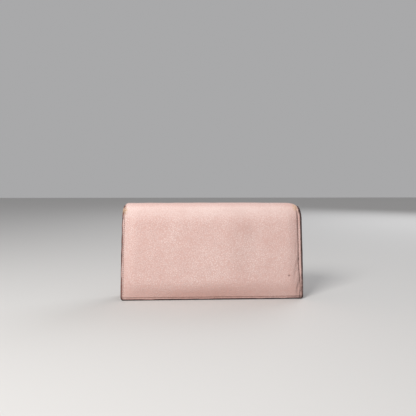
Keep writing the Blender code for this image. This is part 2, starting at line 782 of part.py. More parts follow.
make_back_cover()
make_back_padding()
whole_panel("back_board", "back_board", "board", BACK, BOARD_INSET, FLOOR, SHOULDER_Z - 2, 2.0, 2.0)
make_back_lining()
make_base()
make_card_slots()
make_gussets()
make_spine()
make_flap()
make_front_leaf()
make_snap()
make_coin_pocket()
make_zip()
make_slider()
make_pull()
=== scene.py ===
"""The looks of the long flap wallet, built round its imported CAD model.

Everything is worked out in millimetres in the wallet's frame: +Z up, X along its length, the padded
back panel towards -Y and the flap towards +Y. add_mesh turns it into metres. Each leather panel is a
closed sheet between two grids of points, and its grain reads the attribute "rest", its place in
millimetres at rest, so that it stays put when the leather bends.
"""

import json
import math

import bmesh
import bpy
import numpy as np
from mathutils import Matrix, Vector

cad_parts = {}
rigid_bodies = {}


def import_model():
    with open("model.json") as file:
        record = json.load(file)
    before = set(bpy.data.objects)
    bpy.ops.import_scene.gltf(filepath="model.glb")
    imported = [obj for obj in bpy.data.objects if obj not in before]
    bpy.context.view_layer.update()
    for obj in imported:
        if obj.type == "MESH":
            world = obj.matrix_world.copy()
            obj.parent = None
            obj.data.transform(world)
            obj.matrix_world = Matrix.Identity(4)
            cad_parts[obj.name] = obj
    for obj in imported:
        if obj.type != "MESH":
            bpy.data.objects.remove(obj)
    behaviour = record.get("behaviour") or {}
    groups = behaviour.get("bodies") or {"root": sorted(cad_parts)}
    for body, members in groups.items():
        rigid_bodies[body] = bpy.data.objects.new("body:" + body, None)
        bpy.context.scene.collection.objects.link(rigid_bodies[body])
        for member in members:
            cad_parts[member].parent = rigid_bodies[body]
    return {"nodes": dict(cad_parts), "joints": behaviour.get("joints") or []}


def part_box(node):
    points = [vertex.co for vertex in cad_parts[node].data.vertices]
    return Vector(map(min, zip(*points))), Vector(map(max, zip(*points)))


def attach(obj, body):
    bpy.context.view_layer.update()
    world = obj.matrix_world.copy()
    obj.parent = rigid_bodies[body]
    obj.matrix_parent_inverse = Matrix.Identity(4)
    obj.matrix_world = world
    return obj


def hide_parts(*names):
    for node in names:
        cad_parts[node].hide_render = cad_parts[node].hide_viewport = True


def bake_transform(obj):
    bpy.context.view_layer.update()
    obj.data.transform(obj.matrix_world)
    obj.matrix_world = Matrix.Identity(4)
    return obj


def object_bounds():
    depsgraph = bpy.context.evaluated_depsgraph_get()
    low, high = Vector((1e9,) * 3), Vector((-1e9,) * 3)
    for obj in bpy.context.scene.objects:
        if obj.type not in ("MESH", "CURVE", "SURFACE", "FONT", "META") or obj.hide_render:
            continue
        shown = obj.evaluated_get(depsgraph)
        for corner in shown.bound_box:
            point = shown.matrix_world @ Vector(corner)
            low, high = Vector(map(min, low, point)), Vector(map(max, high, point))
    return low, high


MM = 0.001
for item in list(bpy.data.objects):
    bpy.data.objects.remove(item, do_unlink=True)
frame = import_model()
cad_box = [list(corner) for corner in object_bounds()]
NODES = frame["nodes"]
JOINT = {joint["name"]: joint for joint in frame["joints"]}


# ---- sizes from the frame
def box_mm(node):
    low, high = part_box(node)
    return np.array(low) / MM, np.array(high) / MM


def layer(node):
    """(first, last) Y of a flat node."""
    low, high = box_mm(node)
    return low[1], high[1]


TOTAL_LOW, TOTAL_HIGH = (np.array(corner) / MM for corner in cad_box)
HEIGHT = TOTAL_HIGH[2]
BACK_PIN = np.array(JOINT["spine_fold"]["pos_m"]) / MM
FRONT_PIN = np.array(JOINT["flap_fold"]["pos_m"]) / MM
SHOULDER = (HEIGHT - BACK_PIN[2]) / (1 - math.sqrt(0.5))  # the pins lie half way round the shoulders
SETBACK = SHOULDER * (1 - math.sqrt(0.5))
BACK_Y = BACK_PIN[1] - SETBACK
FLAP_Y = FRONT_PIN[1] + SETBACK
SHOULDER_Z = HEIGHT - SHOULDER
ARC = SHOULDER * math.pi / 2
TOP_RUN = FLAP_Y - BACK_Y - 2 * SHOULDER
TOP_START = SHOULDER_Z + ARC
TOP_MIDDLE = TOP_START + TOP_RUN / 2  # where the back skin ends and the flap skin starts
FLAP_START = TOP_START + TOP_RUN + ARC
FLAP_BOTTOM = box_mm("flap_cover")[0][2]
FLAP_END = FLAP_START + SHOULDER_Z - FLAP_BOTTOM
HALF_BASE = box_mm("back_cover")[1][0]
TAPER = 1.9  # how much narrower each side is at TAPER_HEIGHT
TAPER_HEIGHT = 88.0
CLEAR = 0.1  # between flat layers
COVER = FLAP_Y - layer("flap_board")[1] - CLEAR  # thickness of the cover leather
PADDING = 1.25 * (BACK_Y - TOTAL_LOW[1])  # the padding's height over the rim, plumper than in CAD
COIN_MIDDLE = (layer("coin_rear_wall")[1] + layer("coin_front_wall")[0]) / 2
BACK_FOLD = TOP_START - ARC / 2
FRONT_FOLD = TOP_START + TOP_RUN + ARC / 2
SNAP_Z = (box_mm("snap_cap")[0][2] + box_mm("snap_cap")[1][2]) / 2
EDGE_BEAD = 0.95  # the skin stops this short of the painted edge
FLAP_CORNER = 10.0


def smooth(t):
    t = np.clip(t, 0.0, 1.0)
    return t * t * (3 - 2 * t)


def half_width(z):
    return HALF_BASE - TAPER * (np.clip(z, 0, None) / TAPER_HEIGHT) ** 1.7


def cover_line(s):
    """(y, z, out_y, out_z) of the cover's outer face at distance s: up the back, over the top and
    down the flap. Its outward direction turns a quarter round each shoulder."""
    s = np.asarray(s, float)
    turn = np.pi - np.clip((s - SHOULDER_Z) / SHOULDER, 0, np.pi / 2)
    turn = turn - np.clip((s - TOP_START - TOP_RUN) / SHOULDER, 0, np.pi / 2)
    out_y, out_z = np.cos(turn), np.sin(turn)
    y = BACK_Y + SHOULDER + SHOULDER * out_y + np.clip(s - TOP_START, 0, TOP_RUN)
    z = SHOULDER_Z + SHOULDER * out_z + np.minimum(s - SHOULDER_Z, 0) - np.maximum(s - FLAP_START, 0)
    return y, z, out_y, out_z


def half_at(s):
    """Half the wallet's width at distance s along the cover line."""
    return half_width(cover_line(s)[1])


def points_at(x, y, z):
    """Points from their coordinates, each an array or one value for all of them."""
    return np.stack(np.broadcast_arrays(x, y, z), axis=-1)


# The worn top corners: how far each one's rounding runs along the top and down the side, how much
# the leather draws in there, and how much the top sinks towards that end.
CORNERS = {-1: (3.4, 6.0, 0.6, 0.2), 1: (9.5, 6.5, 1.3, 0.35)}
SAG_REACH = 78.0  # from the middle, where the sag is the full figure
SAG_FOOT, SAG_RISE = 55.0, 40.0  # the height where it starts, and over how much height it grows
DRAW_DOWN, DRAW_RISE = 14.0, 10.0  # how far below the top the drawing in starts, and its growth
DRAW_ACROSS = 18.0  # how far from the side it starts


def slump(points):
    """Lets the top sag at its ends and round off at its two corners, as soft worn leather does."""
    x, y, z = (points[..., i] for i in range(3))
    half = half_width(z)
    moved_x, moved_z = x, z
    for sign, (across, down, draw, sag) in CORNERS.items():
        side = sign * x
        into = np.clip((side - half + across) / across, 0, 0.8)
        drop = down * (1 - np.sqrt(1 - into**2))
        start = HEIGHT - down
        moved_z = np.where(moved_z > start, start + (moved_z - start) * (1 - drop / down), moved_z)
        sagging = smooth((z - SAG_FOOT) / SAG_RISE)
        moved_z = moved_z - sag * (np.clip(side, 0, None) / SAG_REACH) ** 2 * sagging
        near_side = smooth((side - half + DRAW_ACROSS) / DRAW_ACROSS)
        drawn = draw * smooth((z - HEIGHT + DRAW_DOWN) / DRAW_RISE) * near_side
        moved_x = moved_x - sign * drawn
    return points_at(moved_x, y, moved_z)


def place(s, x, depth):
    """Points of the folded leather: s along the cover line, x across, depth below its outer face."""
    y, z, out_y, out_z = cover_line(s)
    return slump(points_at(x, y - depth * out_y, z - depth * out_z))


# ---- meshes
def mend(mesh, merge=0.0):
    """Joins points closer than merge, in metres, and turns the faces outwards."""
    bm = bmesh.new()
    bm.from_mesh(mesh)
    if merge:
        bmesh.ops.remove_doubles(bm, verts=bm.verts, dist=merge)
    bmesh.ops.recalc_face_normals(bm, faces=bm.faces)
    bm.to_mesh(mesh)
    bm.free()


def keep_rest(mesh):
    """Keeps where the points are at rest, in millimetres, in the attribute "rest"."""
    places = np.empty(len(mesh.vertices) * 3, np.float32)
    mesh.vertices.foreach_get("co", places)
    rest = mesh.attributes.get("rest") or mesh.attributes.new("rest", "FLOAT_VECTOR", "POINT")
    rest.data.foreach_set("vector", places / MM)


def add_object(name, data):
    piece = bpy.data.objects.new(name, data)
    bpy.context.scene.collection.objects.link(piece)
    return piece


def add_mesh(name, points, faces, material, smooth_angle=60.0, marks=None):
    """An object from points in millimetres. marks says how much painted shade and dirt darken each
    point, in the point attribute that cover_leather reads."""
    mesh = bpy.data.meshes.new(name)
    mesh.from_pydata((np.asarray(points, float) * MM).tolist(), [], faces)
    mend(mesh)
    keep_rest(mesh)
    if marks is not None:
        shade_and_dirt_layer = mesh.attributes.new("shade_and_dirt", "FLOAT", "POINT")
        shade_and_dirt_layer.data.foreach_set("value", np.asarray(marks, np.float32))
    mesh.shade_smooth()
    mesh.set_sharp_from_angle(angle=math.radians(smooth_angle))
    mesh.materials.append(material)
    return add_object(name, mesh)


def border(rows, columns):
    """Index pairs round a grid, in order."""
    loop = [(0, j) for j in range(columns - 1)]
    loop += [(i, columns - 1) for i in range(rows - 1)]
    loop += [(rows - 1, j) for j in range(columns - 1, 0, -1)]
    return np.array(loop + [(i, 0) for i in range(rows - 1, 0, -1)])


RIM_STEPS = 4  # facets round a sheet's edge


def slab(name, outer, inner, material, flat_row=None, marks=None):
    """A closed sheet between two grids, with a half-round edge. A flat_row has a square edge,
    where another piece goes on."""
    rows, columns = outer.shape[:2]
    i, j = border(rows, columns).T
    inner_i, inner_j = np.clip(i, 1, rows - 2), np.clip(j, 1, columns - 2)
    middle, across = (outer[i, j] + inner[i, j]) / 2, (outer[i, j] - inner[i, j]) / 2
    inside = (outer[inner_i, inner_j] + inner[inner_i, inner_j]) / 2
    tangent = np.roll(middle, -1, axis=0) - np.roll(middle, 1, axis=0)
    out = np.cross(tangent, across)
    out /= np.maximum(np.linalg.norm(out, axis=1, keepdims=True), 1e-9)
    out *= np.sign(((middle - inside) * out).sum(axis=1, keepdims=True) + 1e-12)
    radius = np.linalg.norm(across, axis=1, keepdims=True)
    if flat_row is not None:
        radius[i == flat_row % rows] = 0
    points = [outer.reshape(-1, 3), inner.reshape(-1, 3)]
    for angle in np.pi * np.arange(1, RIM_STEPS) / RIM_STEPS:
        points.append(middle + across * np.cos(angle) + out * radius * np.sin(angle))
    size, ring = rows * columns, len(i)
    corner = (np.arange(rows - 1)[:, None] * columns + np.arange(columns - 1)).reshape(-1, 1)
    squares = corner + np.array([0, 1, columns + 1, columns])
    faces = squares.tolist() + (squares + size).tolist()
    on_outer = i * columns + j
    between = [2 * size + level * ring + np.arange(ring) for level in range(RIM_STEPS - 1)]
    levels = [on_outer, *between, on_outer + size]
    for near, far in zip(levels, levels[1:]):
        faces += np.stack([near, np.roll(near, -1), np.roll(far, -1), far], axis=1).tolist()
    if marks is not None:
        marks = np.concatenate([marks.ravel(), marks.ravel()] + [marks[i, j]] * (RIM_STEPS - 1))
    return add_mesh(name, np.concatenate(points), faces, material, marks=marks)


def tube(start, rings, count):
    """Faces of a closed tube: rings of count points, numbered from start, and its flat ends."""
    last = start + (rings - 1) * count
    faces = [tuple(range(end, end + count)) for end in (start, last)]
    for first in range(start, last, count):
        for k in range(count):
            a, b = first + k, first + (k + 1) % count
            faces.append((a, b, b + count, a + count))
    return faces


def sweep(name, path, inward, profile, material):
    """A closed profile of (outward, depth) points carried round a sheet's edge. profile gives the
    points for the path's point of a number, and inward is the direction of depth."""
    across = np.cross(np.gradient(path, axis=0), inward)
    across /= np.maximum(np.linalg.norm(across, axis=1, keepdims=True), 1e-9)
    across *= np.sign(((path - path.mean(axis=0)) * across).sum())
    points = []
    for i, at in enumerate(path):
        points.extend(at + across[i] * out + inward[i] * depth for out, depth in profile(i))
    return add_mesh(name, points, tube(0, len(path), len(profile(0))), material)


STITCH_PITCH = 2.15
STITCH_LENGTH = 1.35
THREAD = 0.27  # radius
STITCH_RINGS, STITCH_SIDES = 5, 6


def stitch_row(name, path, inward, material, length=STITCH_LENGTH, radius=THREAD, sink=0.05):
    """Thread lying along a path on the leather: one small capsule for each stitch."""
    lengths = np.r_[0, np.cumsum(np.linalg.norm(np.diff(path, axis=0), axis=1))]
    ends = np.linspace(0, lengths[-1], max(2, int(round(lengths[-1] / STITCH_PITCH)) + 1))

    def along(values, stations):
        return np.stack([np.interp(stations, lengths, part) for part in values.T], axis=1)

    rng = np.random.default_rng(len(name) + len(path))
    points, faces = [], []
    for centre in (ends[:-1] + ends[1:]) / 2:
        half = length / 2 * (1 + 0.06 * rng.standard_normal())
        stations = centre + np.linspace(-half, half, STITCH_RINGS)
        at, down = along(path, stations), along(inward, stations)
        down /= np.linalg.norm(down, axis=1, keepdims=True)
        ahead = at[-1] - at[0]
        beside = np.cross(ahead / np.linalg.norm(ahead), down[0])
        faces += tube(len(points), STITCH_RINGS, STITCH_SIDES)
        for i, t in enumerate(np.linspace(-1, 1, STITCH_RINGS)):
            swell = radius * math.sqrt(max(0.12, 1 - t**4))
            dip = sink + 0.35 * radius * t**4
            for k in range(STITCH_SIDES):
                turn = 2 * math.pi * k / STITCH_SIDES
                shift = beside * math.cos(turn) * swell - down[i] * math.sin(turn) * swell
                points.append(at[i] + shift + down[i] * dip)
    return add_mesh(name, points, faces, material)


# ---- materials
class Nodes:
    """A material's node tree, with short calls for the nodes that it uses."""

    def __init__(self, name):
        self.material = bpy.data.materials.new(name)
        self.material.use_nodes = True
        self.tree = self.material.node_tree
        self.shader = self.tree.nodes["Principled BSDF"]

    def add(self, kind, settings=None, *values, **inputs):
        """A node with these settings. values feed its first inputs, and inputs those they name."""
        node = self.tree.nodes.new(kind)
        for key, value in (settings or {}).items():
            setattr(node, key, value)
        for socket, value in zip(node.inputs, values):
            self.feed(socket, value)
        for key, value in inputs.items():
            self.feed(node.inputs[key], value)
        return node

    def feed(self, socket, value):
        if isinstance(value, bpy.types.NodeSocket):
            self.tree.links.new(value, socket)
        else:
            socket.default_value = (*value, 1.0) if socket.type == "RGBA" else value

    def maths(self, operation, a, b=0.0):
        return self.add("ShaderNodeMath", {"operation": operation}, a, b).outputs[0]

    def times(self, a, b):
        return self.maths("MULTIPLY", a, b)

    def vector(self, operation, a, b=(0, 0, 0)):
        node = self.add("ShaderNodeVectorMath", {"operation": operation}, a, b)
        return node.outputs["Value" if operation == "LENGTH" else "Vector"]

    def scaled(self, vector, factor):
        return self.vector("MULTIPLY", vector, (factor, factor, factor))

    def ramp(self, value, low, high, start=0.0, end=1.0):
        """A smooth change from start to end as value goes from low to high."""
        settings = {"interpolation_type": "SMOOTHSTEP"}
        return self.add("ShaderNodeMapRange", settings, value, low, high, start, end).outputs[0]

    def mix(self, share, a, b):
        """From colour a to colour b as share goes from 0 to 1."""
        node = self.add("ShaderNodeMix", {"data_type": "RGBA", "clamp_factor": True}, share)
        self.feed(node.inputs[6], a)
        self.feed(node.inputs[7], b)
        return node.outputs[2]

    def place(self, from_cad=False):
        """Place at rest in millimetres: the stored attribute, or a CAD node's own coordinates."""
        if from_cad:
            return self.scaled(self.add("ShaderNodeTexCoord").outputs["Object"], 1 / MM)
        return self.add("ShaderNodeAttribute", {"attribute_name": "rest"}).outputs["Vector"]

    def split(self, at):
        return self.add("ShaderNodeSeparateXYZ", Vector=at).outputs

    def noise(self, at, size, detail=2.0, roughness=0.5):
        """Noise from 0 to 1 whose features are about size millimetres across."""
        inputs = {"Vector": at, "Scale": 1 / size, "Detail": detail, "Roughness": roughness}
        return self.add("ShaderNodeTexNoise", **inputs).outputs["Fac"]

    def spot(self, at, centre, radius, soft=0.5, stretch=(1, 1, 1)):
        """1 inside a soft spot round a centre in millimetres and 0 outside it."""
        offset = self.vector("DIVIDE", self.vector("SUBTRACT", at, centre), stretch)
        distance = self.vector("LENGTH", offset)
        return self.ramp(distance, radius * (1 - soft), radius * (1 + soft), 1.0, 0.0)

    def bump(self, height, distance_mm, strength=1.0, before=None):
        inputs = {"Height": height, "Strength": strength, "Distance": distance_mm * MM}
        if before is not None:
            inputs["Normal"] = before
        return self.add("ShaderNodeBump", **inputs).outputs[0]

    def done(self, colour, roughness, normal=None, **others):
        inputs = {"Base Color": colour, "Roughness": roughness, **others}
        if normal is not None:
            inputs["Normal"] = normal
        for key, value in inputs.items():
            self.feed(self.shader.inputs[key.replace("_", " ")], value)
        return self.material


def pebbles(n, at, size):
    """Height of pebbled grain, 0 in its narrow valleys and about 1 on its rounded pebbles."""
    warp = n.add("ShaderNodeTexNoise", Vector=at, Scale=1 / (2.6 * size), Detail=1.0)
    bent = n.vector("ADD", at, n.scaled(warp.outputs["Color"], 0.8 * size))

    def cells(feature, scale):
        node = n.add("ShaderNodeTexVoronoi", {"feature": feature}, Vector=bent, Scale=scale)
        return node.outputs["Distance"]

    valley = n.ramp(cells("DISTANCE_TO_EDGE", 1 / size), 0.0, 0.24)
    dome = n.ramp(cells("F1", 1 / size), 0.1, 0.95, 1.0, 0.35)
    fine = n.ramp(cells("DISTANCE_TO_EDGE", 2.3 / size), 0.0, 0.35, 0.78, 1.0)
    uneven = n.ramp(n.noise(at, 4 * size), 0.3, 0.7, 0.72, 1.0)
    return n.times(n.times(valley, dome), n.times(fine, uneven))


COVER_LIGHT = (0.800, 0.620, 0.580)
COVER_MID = (0.730, 0.530, 0.490)
COVER_DEEP = (0.600, 0.360, 0.315)
COVER_SHADE_AND_GRIME = (0.500, 0.310, 0.270)
WORN_TAN = (0.600, 0.400, 0.255)
RUBBED_BROWN = (0.150, 0.075, 0.045)
DIRT_AND_SHADE = (0.250, 0.140, 0.120)
COVER_PAINTED_HIGHLIGHT = (0.880, 0.730, 0.690)
EDGE_RED = (0.190, 0.068, 0.048)
EDGE_DARK = (0.040, 0.017, 0.016)


def cover_leather():
    """Pale rose pebbled leather, dirtier in its grain, with painted shade and dirt towards the bottom
    and in its valley and creases, a painted highlight below the top roll, and worn corners.
    """
    n = Nodes("cover_leather")
    at = n.place()
    x, _, z = n.split(at)
    grain = pebbles(n, at, 1.7)
    flattened = n.times(n.maths("SUBTRACT", 0.8, grain), n.ramp(z, 80.0, 93.0, 0.0, 0.35))
    grain = n.maths("ADD", grain, flattened)
    patches = n.noise(at, 34.0, 3.0, 0.5)
    mottle = n.noise(at, 5.0, 3.0, 0.6)
    colour = n.mix(n.ramp(patches, 0.3, 0.7), COVER_LIGHT, COVER_MID)
    colour = n.mix(n.ramp(mottle, 0.4, 0.8, 0.0, 0.16), colour, COVER_DEEP)
    # Painted highlight: lighter towards the band just below the top roll.
    colour = n.mix(n.ramp(z, 78.0, 91.0, 0.0, 0.22), colour, COVER_PAINTED_HIGHLIGHT)
    # Deeper rose over the top roll and towards the right end.
    deeper_top_roll = n.ramp(z, 95.0, 99.0, 0.0, 0.4)
    right_end = n.ramp(x, 68.0, 88.0, 0.0, 0.25)
    colour = n.mix(n.maths("ADD", deeper_top_roll, right_end), colour, COVER_DEEP)
    # Painted shade, with some dirt, darkens the bottom, most near the middle a little to the left.
    shade_and_grime_across = n.ramp(n.maths("ABSOLUTE", n.maths("ADD", x, 12.0)), 15.0, 75.0, 1.0, 0.5)
    low_shade_and_grime = n.times(n.ramp(z, 3.0, 22.0, 1.0, 0.0), n.ramp(mottle, 0.3, 0.7, 0.85, 1.0))
    colour = n.mix(n.times(low_shade_and_grime, shade_and_grime_across), colour, COVER_SHADE_AND_GRIME)
    colour = n.mix(n.ramp(grain, 0.0, 0.6, 0.62, 0.0), colour, COVER_DEEP)
    marks = (
        ((31.0, BACK_Y, 58.0), 13.0, (1.0, 1.0, 2.2), 0.09),
        ((37.0, BACK_Y, 70.0), 6.0, (1.0, 1.0, 1.3), 0.05),
        ((79.4, BACK_Y, 25.0), 0.95, (1.3, 4.0, 1.0), 1.0),
        ((-15.6, BACK_Y, 70.0), 0.6, (1.0, 5.0, 1.0), 0.6),
        ((61.0, BACK_Y, 41.0), 0.45, (1.0, 6.0, 1.0), 0.45),
        ((-52.0, BACK_Y, 34.0), 0.4, (1.0, 6.0, 1.0), 0.40),
    )
    for centre, radius, stretch, strength in marks:
        spot = n.spot(at, centre, radius, 0.6, stretch)
        colour = n.mix(n.times(spot, strength), colour, DIRT_AND_SHADE)
    broken = n.ramp(n.noise(at, 1.6, 3.0, 0.6), 0.32, 0.52)
    for centre, radius, strength, tone in (
        ((-90.4, BACK_Y + 1.0, 92.5), 2.2, 1.0, WORN_TAN),
        ((-91.2, BACK_Y + 2.0, 96.5), 1.5, 0.90, EDGE_RED),
        ((86.5, BACK_Y + 2.0, 96.0), 2.4, 0.85, WORN_TAN),
        ((90.6, BACK_Y + 1.5, 94.0), 2.6, 0.95, RUBBED_BROWN),
    ):
        spot = n.times(n.spot(at, centre, radius, 0.7, (1.0, 4.0, 1.5)), broken)
        colour = n.mix(n.times(spot, strength), colour, tone)
    # Painted shade, with some dirt, in the valleys, creases, seams and foot; towards the shaded right end
    # it turns nearly black.
    shade_and_dirt_amount = n.add("ShaderNodeAttribute", {"attribute_name": "shade_and_dirt"}).outputs["Fac"]
    uneven = n.ramp(n.noise(at, 2.5, 3.0), 0.25, 0.7, 0.6, 1.0)
    blacker_right = n.mix(n.ramp(x, 78.0, 88.0), DIRT_AND_SHADE, EDGE_DARK)
    colour = n.mix(n.times(shade_and_dirt_amount, uneven), colour, blacker_right)
    rough = n.ramp(grain, 0.1, 0.8, 0.76, 0.64)
    normal = n.bump(mottle, 0.25, 0.5)
    normal = n.bump(grain, 0.18, 1.0, normal)
    return n.done(colour, rough, normal, Specular_IOR_Level=0.26)


def smooth_leather(name, light, dark, grain_mm=0.55, depth=0.04, roughness=0.56):
    """Thinner leather with a fine grain, creased softly and darker in its grain."""
    n = Nodes(name)
    at = n.place()
    grain = pebbles(n, at, grain_mm)
    patches = n.noise(at, 18.0, 3.0)
    colour = n.mix(n.ramp(patches, 0.3, 0.7), light, tuple(0.90 * c for c in light))
    colour = n.mix(n.ramp(grain, 0.0, 0.6, 0.5, 0.0), colour, dark)
    rough = n.ramp(grain, 0.1, 0.9, roughness + 0.08, roughness - 0.06)
    normal = n.bump(patches, 0.2, 0.3)
    return n.done(colour, rough, n.bump(grain, depth, 0.8, normal), Specular_IOR_Level=0.4)


def edge_paint():
    """Edge paint: thick and satin, rubbed lighter in places, with painted shade that makes it nearly
    black towards the right and along the bottom.
    """
    n = Nodes("edge_paint")
    at = n.place()
    x, _, z = n.split(at)
    rubbed = n.noise(at, 4.0, 4.0, 0.65)
    # Painted shade: red at the lit left end, nearly black towards the right, with rubbed patches redder.
    share = n.times(n.ramp(x, -80.0, 80.0, 1.0, 0.05), n.ramp(rubbed, 0.36, 0.62, 0.2, 1.0))
    # Painted contact shadow: nearly black along the bottom.
    share = n.times(share, n.ramp(z, 0.5, 6.0, 0.15, 1.0))
    colour = n.mix(share, EDGE_DARK, EDGE_RED)
    bared = n.spot(at, (-92.5, BACK_Y + 1.0, 93.0), 2.6, 0.5)
    colour = n.mix(n.times(bared, 0.6), colour, WORN_TAN)
    lumps = n.noise(at, 1.1, 3.0)
    return n.done(colour, n.ramp(lumps, 0.3, 0.7, 0.38, 0.55), n.bump(lumps, 0.12, 0.6))


def thread_material():
    """Twisted thread, with its plies as a fine wave along it."""
    n = Nodes("thread")
    at = n.place()
    plies = n.add("ShaderNodeTexWave", {"bands_direction": "DIAGONAL"}, Vector=at, Scale=1.5)
    shade_and_dirt = n.noise(at, 12.0, 2.0)
    colour = n.mix(n.ramp(shade_and_dirt, 0.35, 0.7), (0.74, 0.52, 0.47), (0.55, 0.33, 0.28))
    return n.done(colour, 0.75, n.bump(plies.outputs["Fac"], 0.05, 0.5), Sheen_Weight=0.15)


def woven(name, light, dark, pitch):
    """Plain weave: crossing threads in the X and Z directions."""
    n = Nodes(name)
    at = n.place()
    x, y, z = n.split(at)
    warp = n.maths("SINE", n.times(x, 2 * math.pi / pitch))
    weft = n.maths("SINE", n.times(n.maths("ADD", z, y), 2 * math.pi / pitch))
    cross = n.times(warp, weft)
    height = n.ramp(cross, -1.0, 1.0)
    patches = n.noise(at, 6.0, 3.0)
    colour = n.mix(height, dark, light)
    colour = n.mix(n.ramp(patches, 0.35, 0.7, 0.0, 0.4), colour, dark)
    return n.done(colour, 0.88, n.bump(height, 0.08, 0.7), Sheen_Weight=0.2)


def metal(name, tint, roughness):
    """Plated metal with fine scratches and a few dull patches."""
    n = Nodes(name)
    at = n.place(from_cad=True)
    stretched = n.vector("MULTIPLY", at, (1.0, 6.0, 9.0))
    streak = n.add("ShaderNodeTexNoise", Vector=stretched, Scale=1.2, Detail=4.0).outputs["Fac"]
    dull = n.noise(at, 2.4, 3.0)
    colour = n.mix(n.ramp(dull, 0.4, 0.75, 0.0, 0.45), tint, tuple(0.72 * c for c in tint))
    rough = n.ramp(streak, 0.3, 0.7, roughness - 0.07, roughness + 0.12)
    normal = n.bump(streak, 0.01, 0.5)
    return n.done(colour, rough, normal, Metallic=1.0)


def fibre(name, light, dark, size, from_cad):
    """Board or wadding: short matted fibres."""
    n = Nodes(name)
    at = n.place(from_cad)
    fibres = n.noise(at, size, 5.0, 0.7)
    colour = n.mix(n.ramp(fibres, 0.3, 0.7), dark, light)
    return n.done(colour, 0.92, n.bump(fibres, 0.15, 0.8))


LINING_LIGHT, LINING_DARK = (0.640, 0.350, 0.305), (0.420, 0.190, 0.165)
BURGUNDY, BURGUNDY_DARK = (0.115, 0.030, 0.032), (0.045, 0.012, 0.014)
LEATHER = cover_leather()
LINING_LEATHER = smooth_leather("lining_leather", LINING_LIGHT, LINING_DARK)
GUSSET_LEATHER = smooth_leather("gusset_leather", BURGUNDY, BURGUNDY_DARK, 0.7, 0.05, 0.5)
EDGE = edge_paint()
THREAD_MATERIAL = thread_material()
GOLD = metal("gold_metal", (0.83, 0.63, 0.36), 0.26)
STEEL = metal("spring_steel", (0.60, 0.60, 0.62), 0.30)
COIN_CLOTH = woven("coin_cloth", (0.62, 0.52, 0.41), (0.42, 0.33, 0.25), 0.7)
TAPE_CLOTH = woven("zip_tape_cloth", (0.42, 0.17, 0.16), (0.20, 0.06, 0.06), 0.5)
BOARD = fibre("board_fibre", (0.47, 0.38, 0.28), (0.30, 0.23, 0.16), 1.2, True)
WADDING = fibre("wadding", (0.82, 0.79, 0.74), (0.62, 0.58, 0.52), 0.8, False)
NEEDLE_HOLE = fibre("needle_hole_dirt", (0.130, 0.070, 0.060), (0.050, 0.025, 0.022), 0.6, False)


# ---- shapes shared by the pieces
def gauss(distance, width):
    return np.exp(-((distance / width) ** 2))


def waves(a, b, size, seed):
    """A gentle unevenness, mostly from -1 to 1, with waves about size millimetres long."""
    rng = np.random.default_rng(seed)
    total = 0.0
    for _ in range(7):
        turn, phase = rng.uniform(0, 2 * np.pi, 2)
        length = size * rng.uniform(0.7, 1.7)
        total = total + np.sin((a * np.cos(turn) + b * np.sin(turn)) * 2 * np.pi / length + phase)
    return total / 4


def corner_cut(distance, radius):
    """How far a rounded corner takes the side in, at a distance from the end."""
    into = np.clip(radius - distance, 0, radius)
    return radius - np.sqrt(radius**2 - into**2)


def from_edge(side, end, radius):
    """Distance in from the outline of a panel whose corner is rounded."""
    across, along_end = np.clip(radius - side, 0, None), np.clip(radius - end, 0, None)
    in_corner = (across > 0) & (along_end > 0)
    return np.where(in_corner, radius - np.hypot(across, along_end), np.minimum(side, end))


PANEL_STEPS = np.array([0.0, 0.35, 0.8, 1.25, 1.6, 1.95, 2.4, 3.2])
COVER_STEPS = np.r_[np.arange(0, 8.6, 0.45), np.arange(9.0, 20.5, 1.0)]


def spread(low, high, near, step):
    """Values from low to high in each row, close together near both ends."""
    low, high = np.atleast_1d(low)[:, None], np.atleast_1d(high)[:, None]
    inner = high - low - 2 * near[-1]
    count = max(1, int(np.ceil(inner.max() / step)))
    middle = low + near[-1] + inner * np.linspace(0, 1, count + 1)[1:-1]
    return np.concatenate([low + near, middle, high - near[::-1]], axis=1)


def rim(start, end, corner, inset, step=0.8):
    """(s, x) down the left side from start, round the end with its corners and back up the right."""
    way = 1 if end > start else -1
    last = end - way * inset
    radius = max(corner - inset, 0.3)
    side = np.linspace(start, last - way * radius, int(abs(end - start) / step) + 1)
    half = half_at(side) - inset
    end_half = half_at(last) - inset
    turn = np.linspace(0, np.pi / 2, 10)[1:]
    corner_s = last - way * radius * (1 - np.sin(turn))
    corner_x = half[-1] - radius * (1 - np.cos(turn))
    count = int(2 * end_half / step)
    flat_x = np.linspace(-corner_x[-1], corner_x[-1], count)[1:-1]
    s = np.r_[side, corner_s, last + 0 * flat_x, corner_s[::-1], side[::-1]]
    x = np.r_[-half, -corner_x, flat_x, corner_x[::-1], half[::-1]]
    return s, x


def inward_at(s):
    _, _, out_y, out_z = cover_line(s)
    return np.stack([0 * out_y, -out_y, -out_z], axis=-1)


def lining_depth(s):
    """Depth of the lining's outer face under the cover's: behind the boards where it's flat, and
    right behind the cover over the top."""
    top = COVER + CLEAR
    back = layer("back_board")[1] + CLEAR - BACK_Y
    flap = FLAP_Y - layer("flap_board")[0] + CLEAR
    near_back = np.where(s > BACK_FOLD, 1.0, smooth(1 - np.abs(s - BACK_FOLD) / (ARC / 2)))
    near_flap = np.where(s < FRONT_FOLD, 1.0, smooth(1 - np.abs(s - FRONT_FOLD) / (ARC / 2)))
    on_back = back + (top - back) * near_back
    return np.where(s < TOP_MIDDLE, on_back, flap + (top - flap) * near_flap)


LINING = 0.6  # thickness
LINING_GAP = 0.05  # how much deeper the lining lies, because its outer face is uneven


def inside_face(s):
    """Depth of the lining's inner face."""
    return lining_depth(s) + LINING_GAP + LINING


def bend_back(piece):
    """Bakes the transform of a piece on the back side of the top into its points."""
    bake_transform(piece)


def bend_front(piece):
    """Bakes the transform of a piece on the flap side of the top into its points."""
    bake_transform(piece)


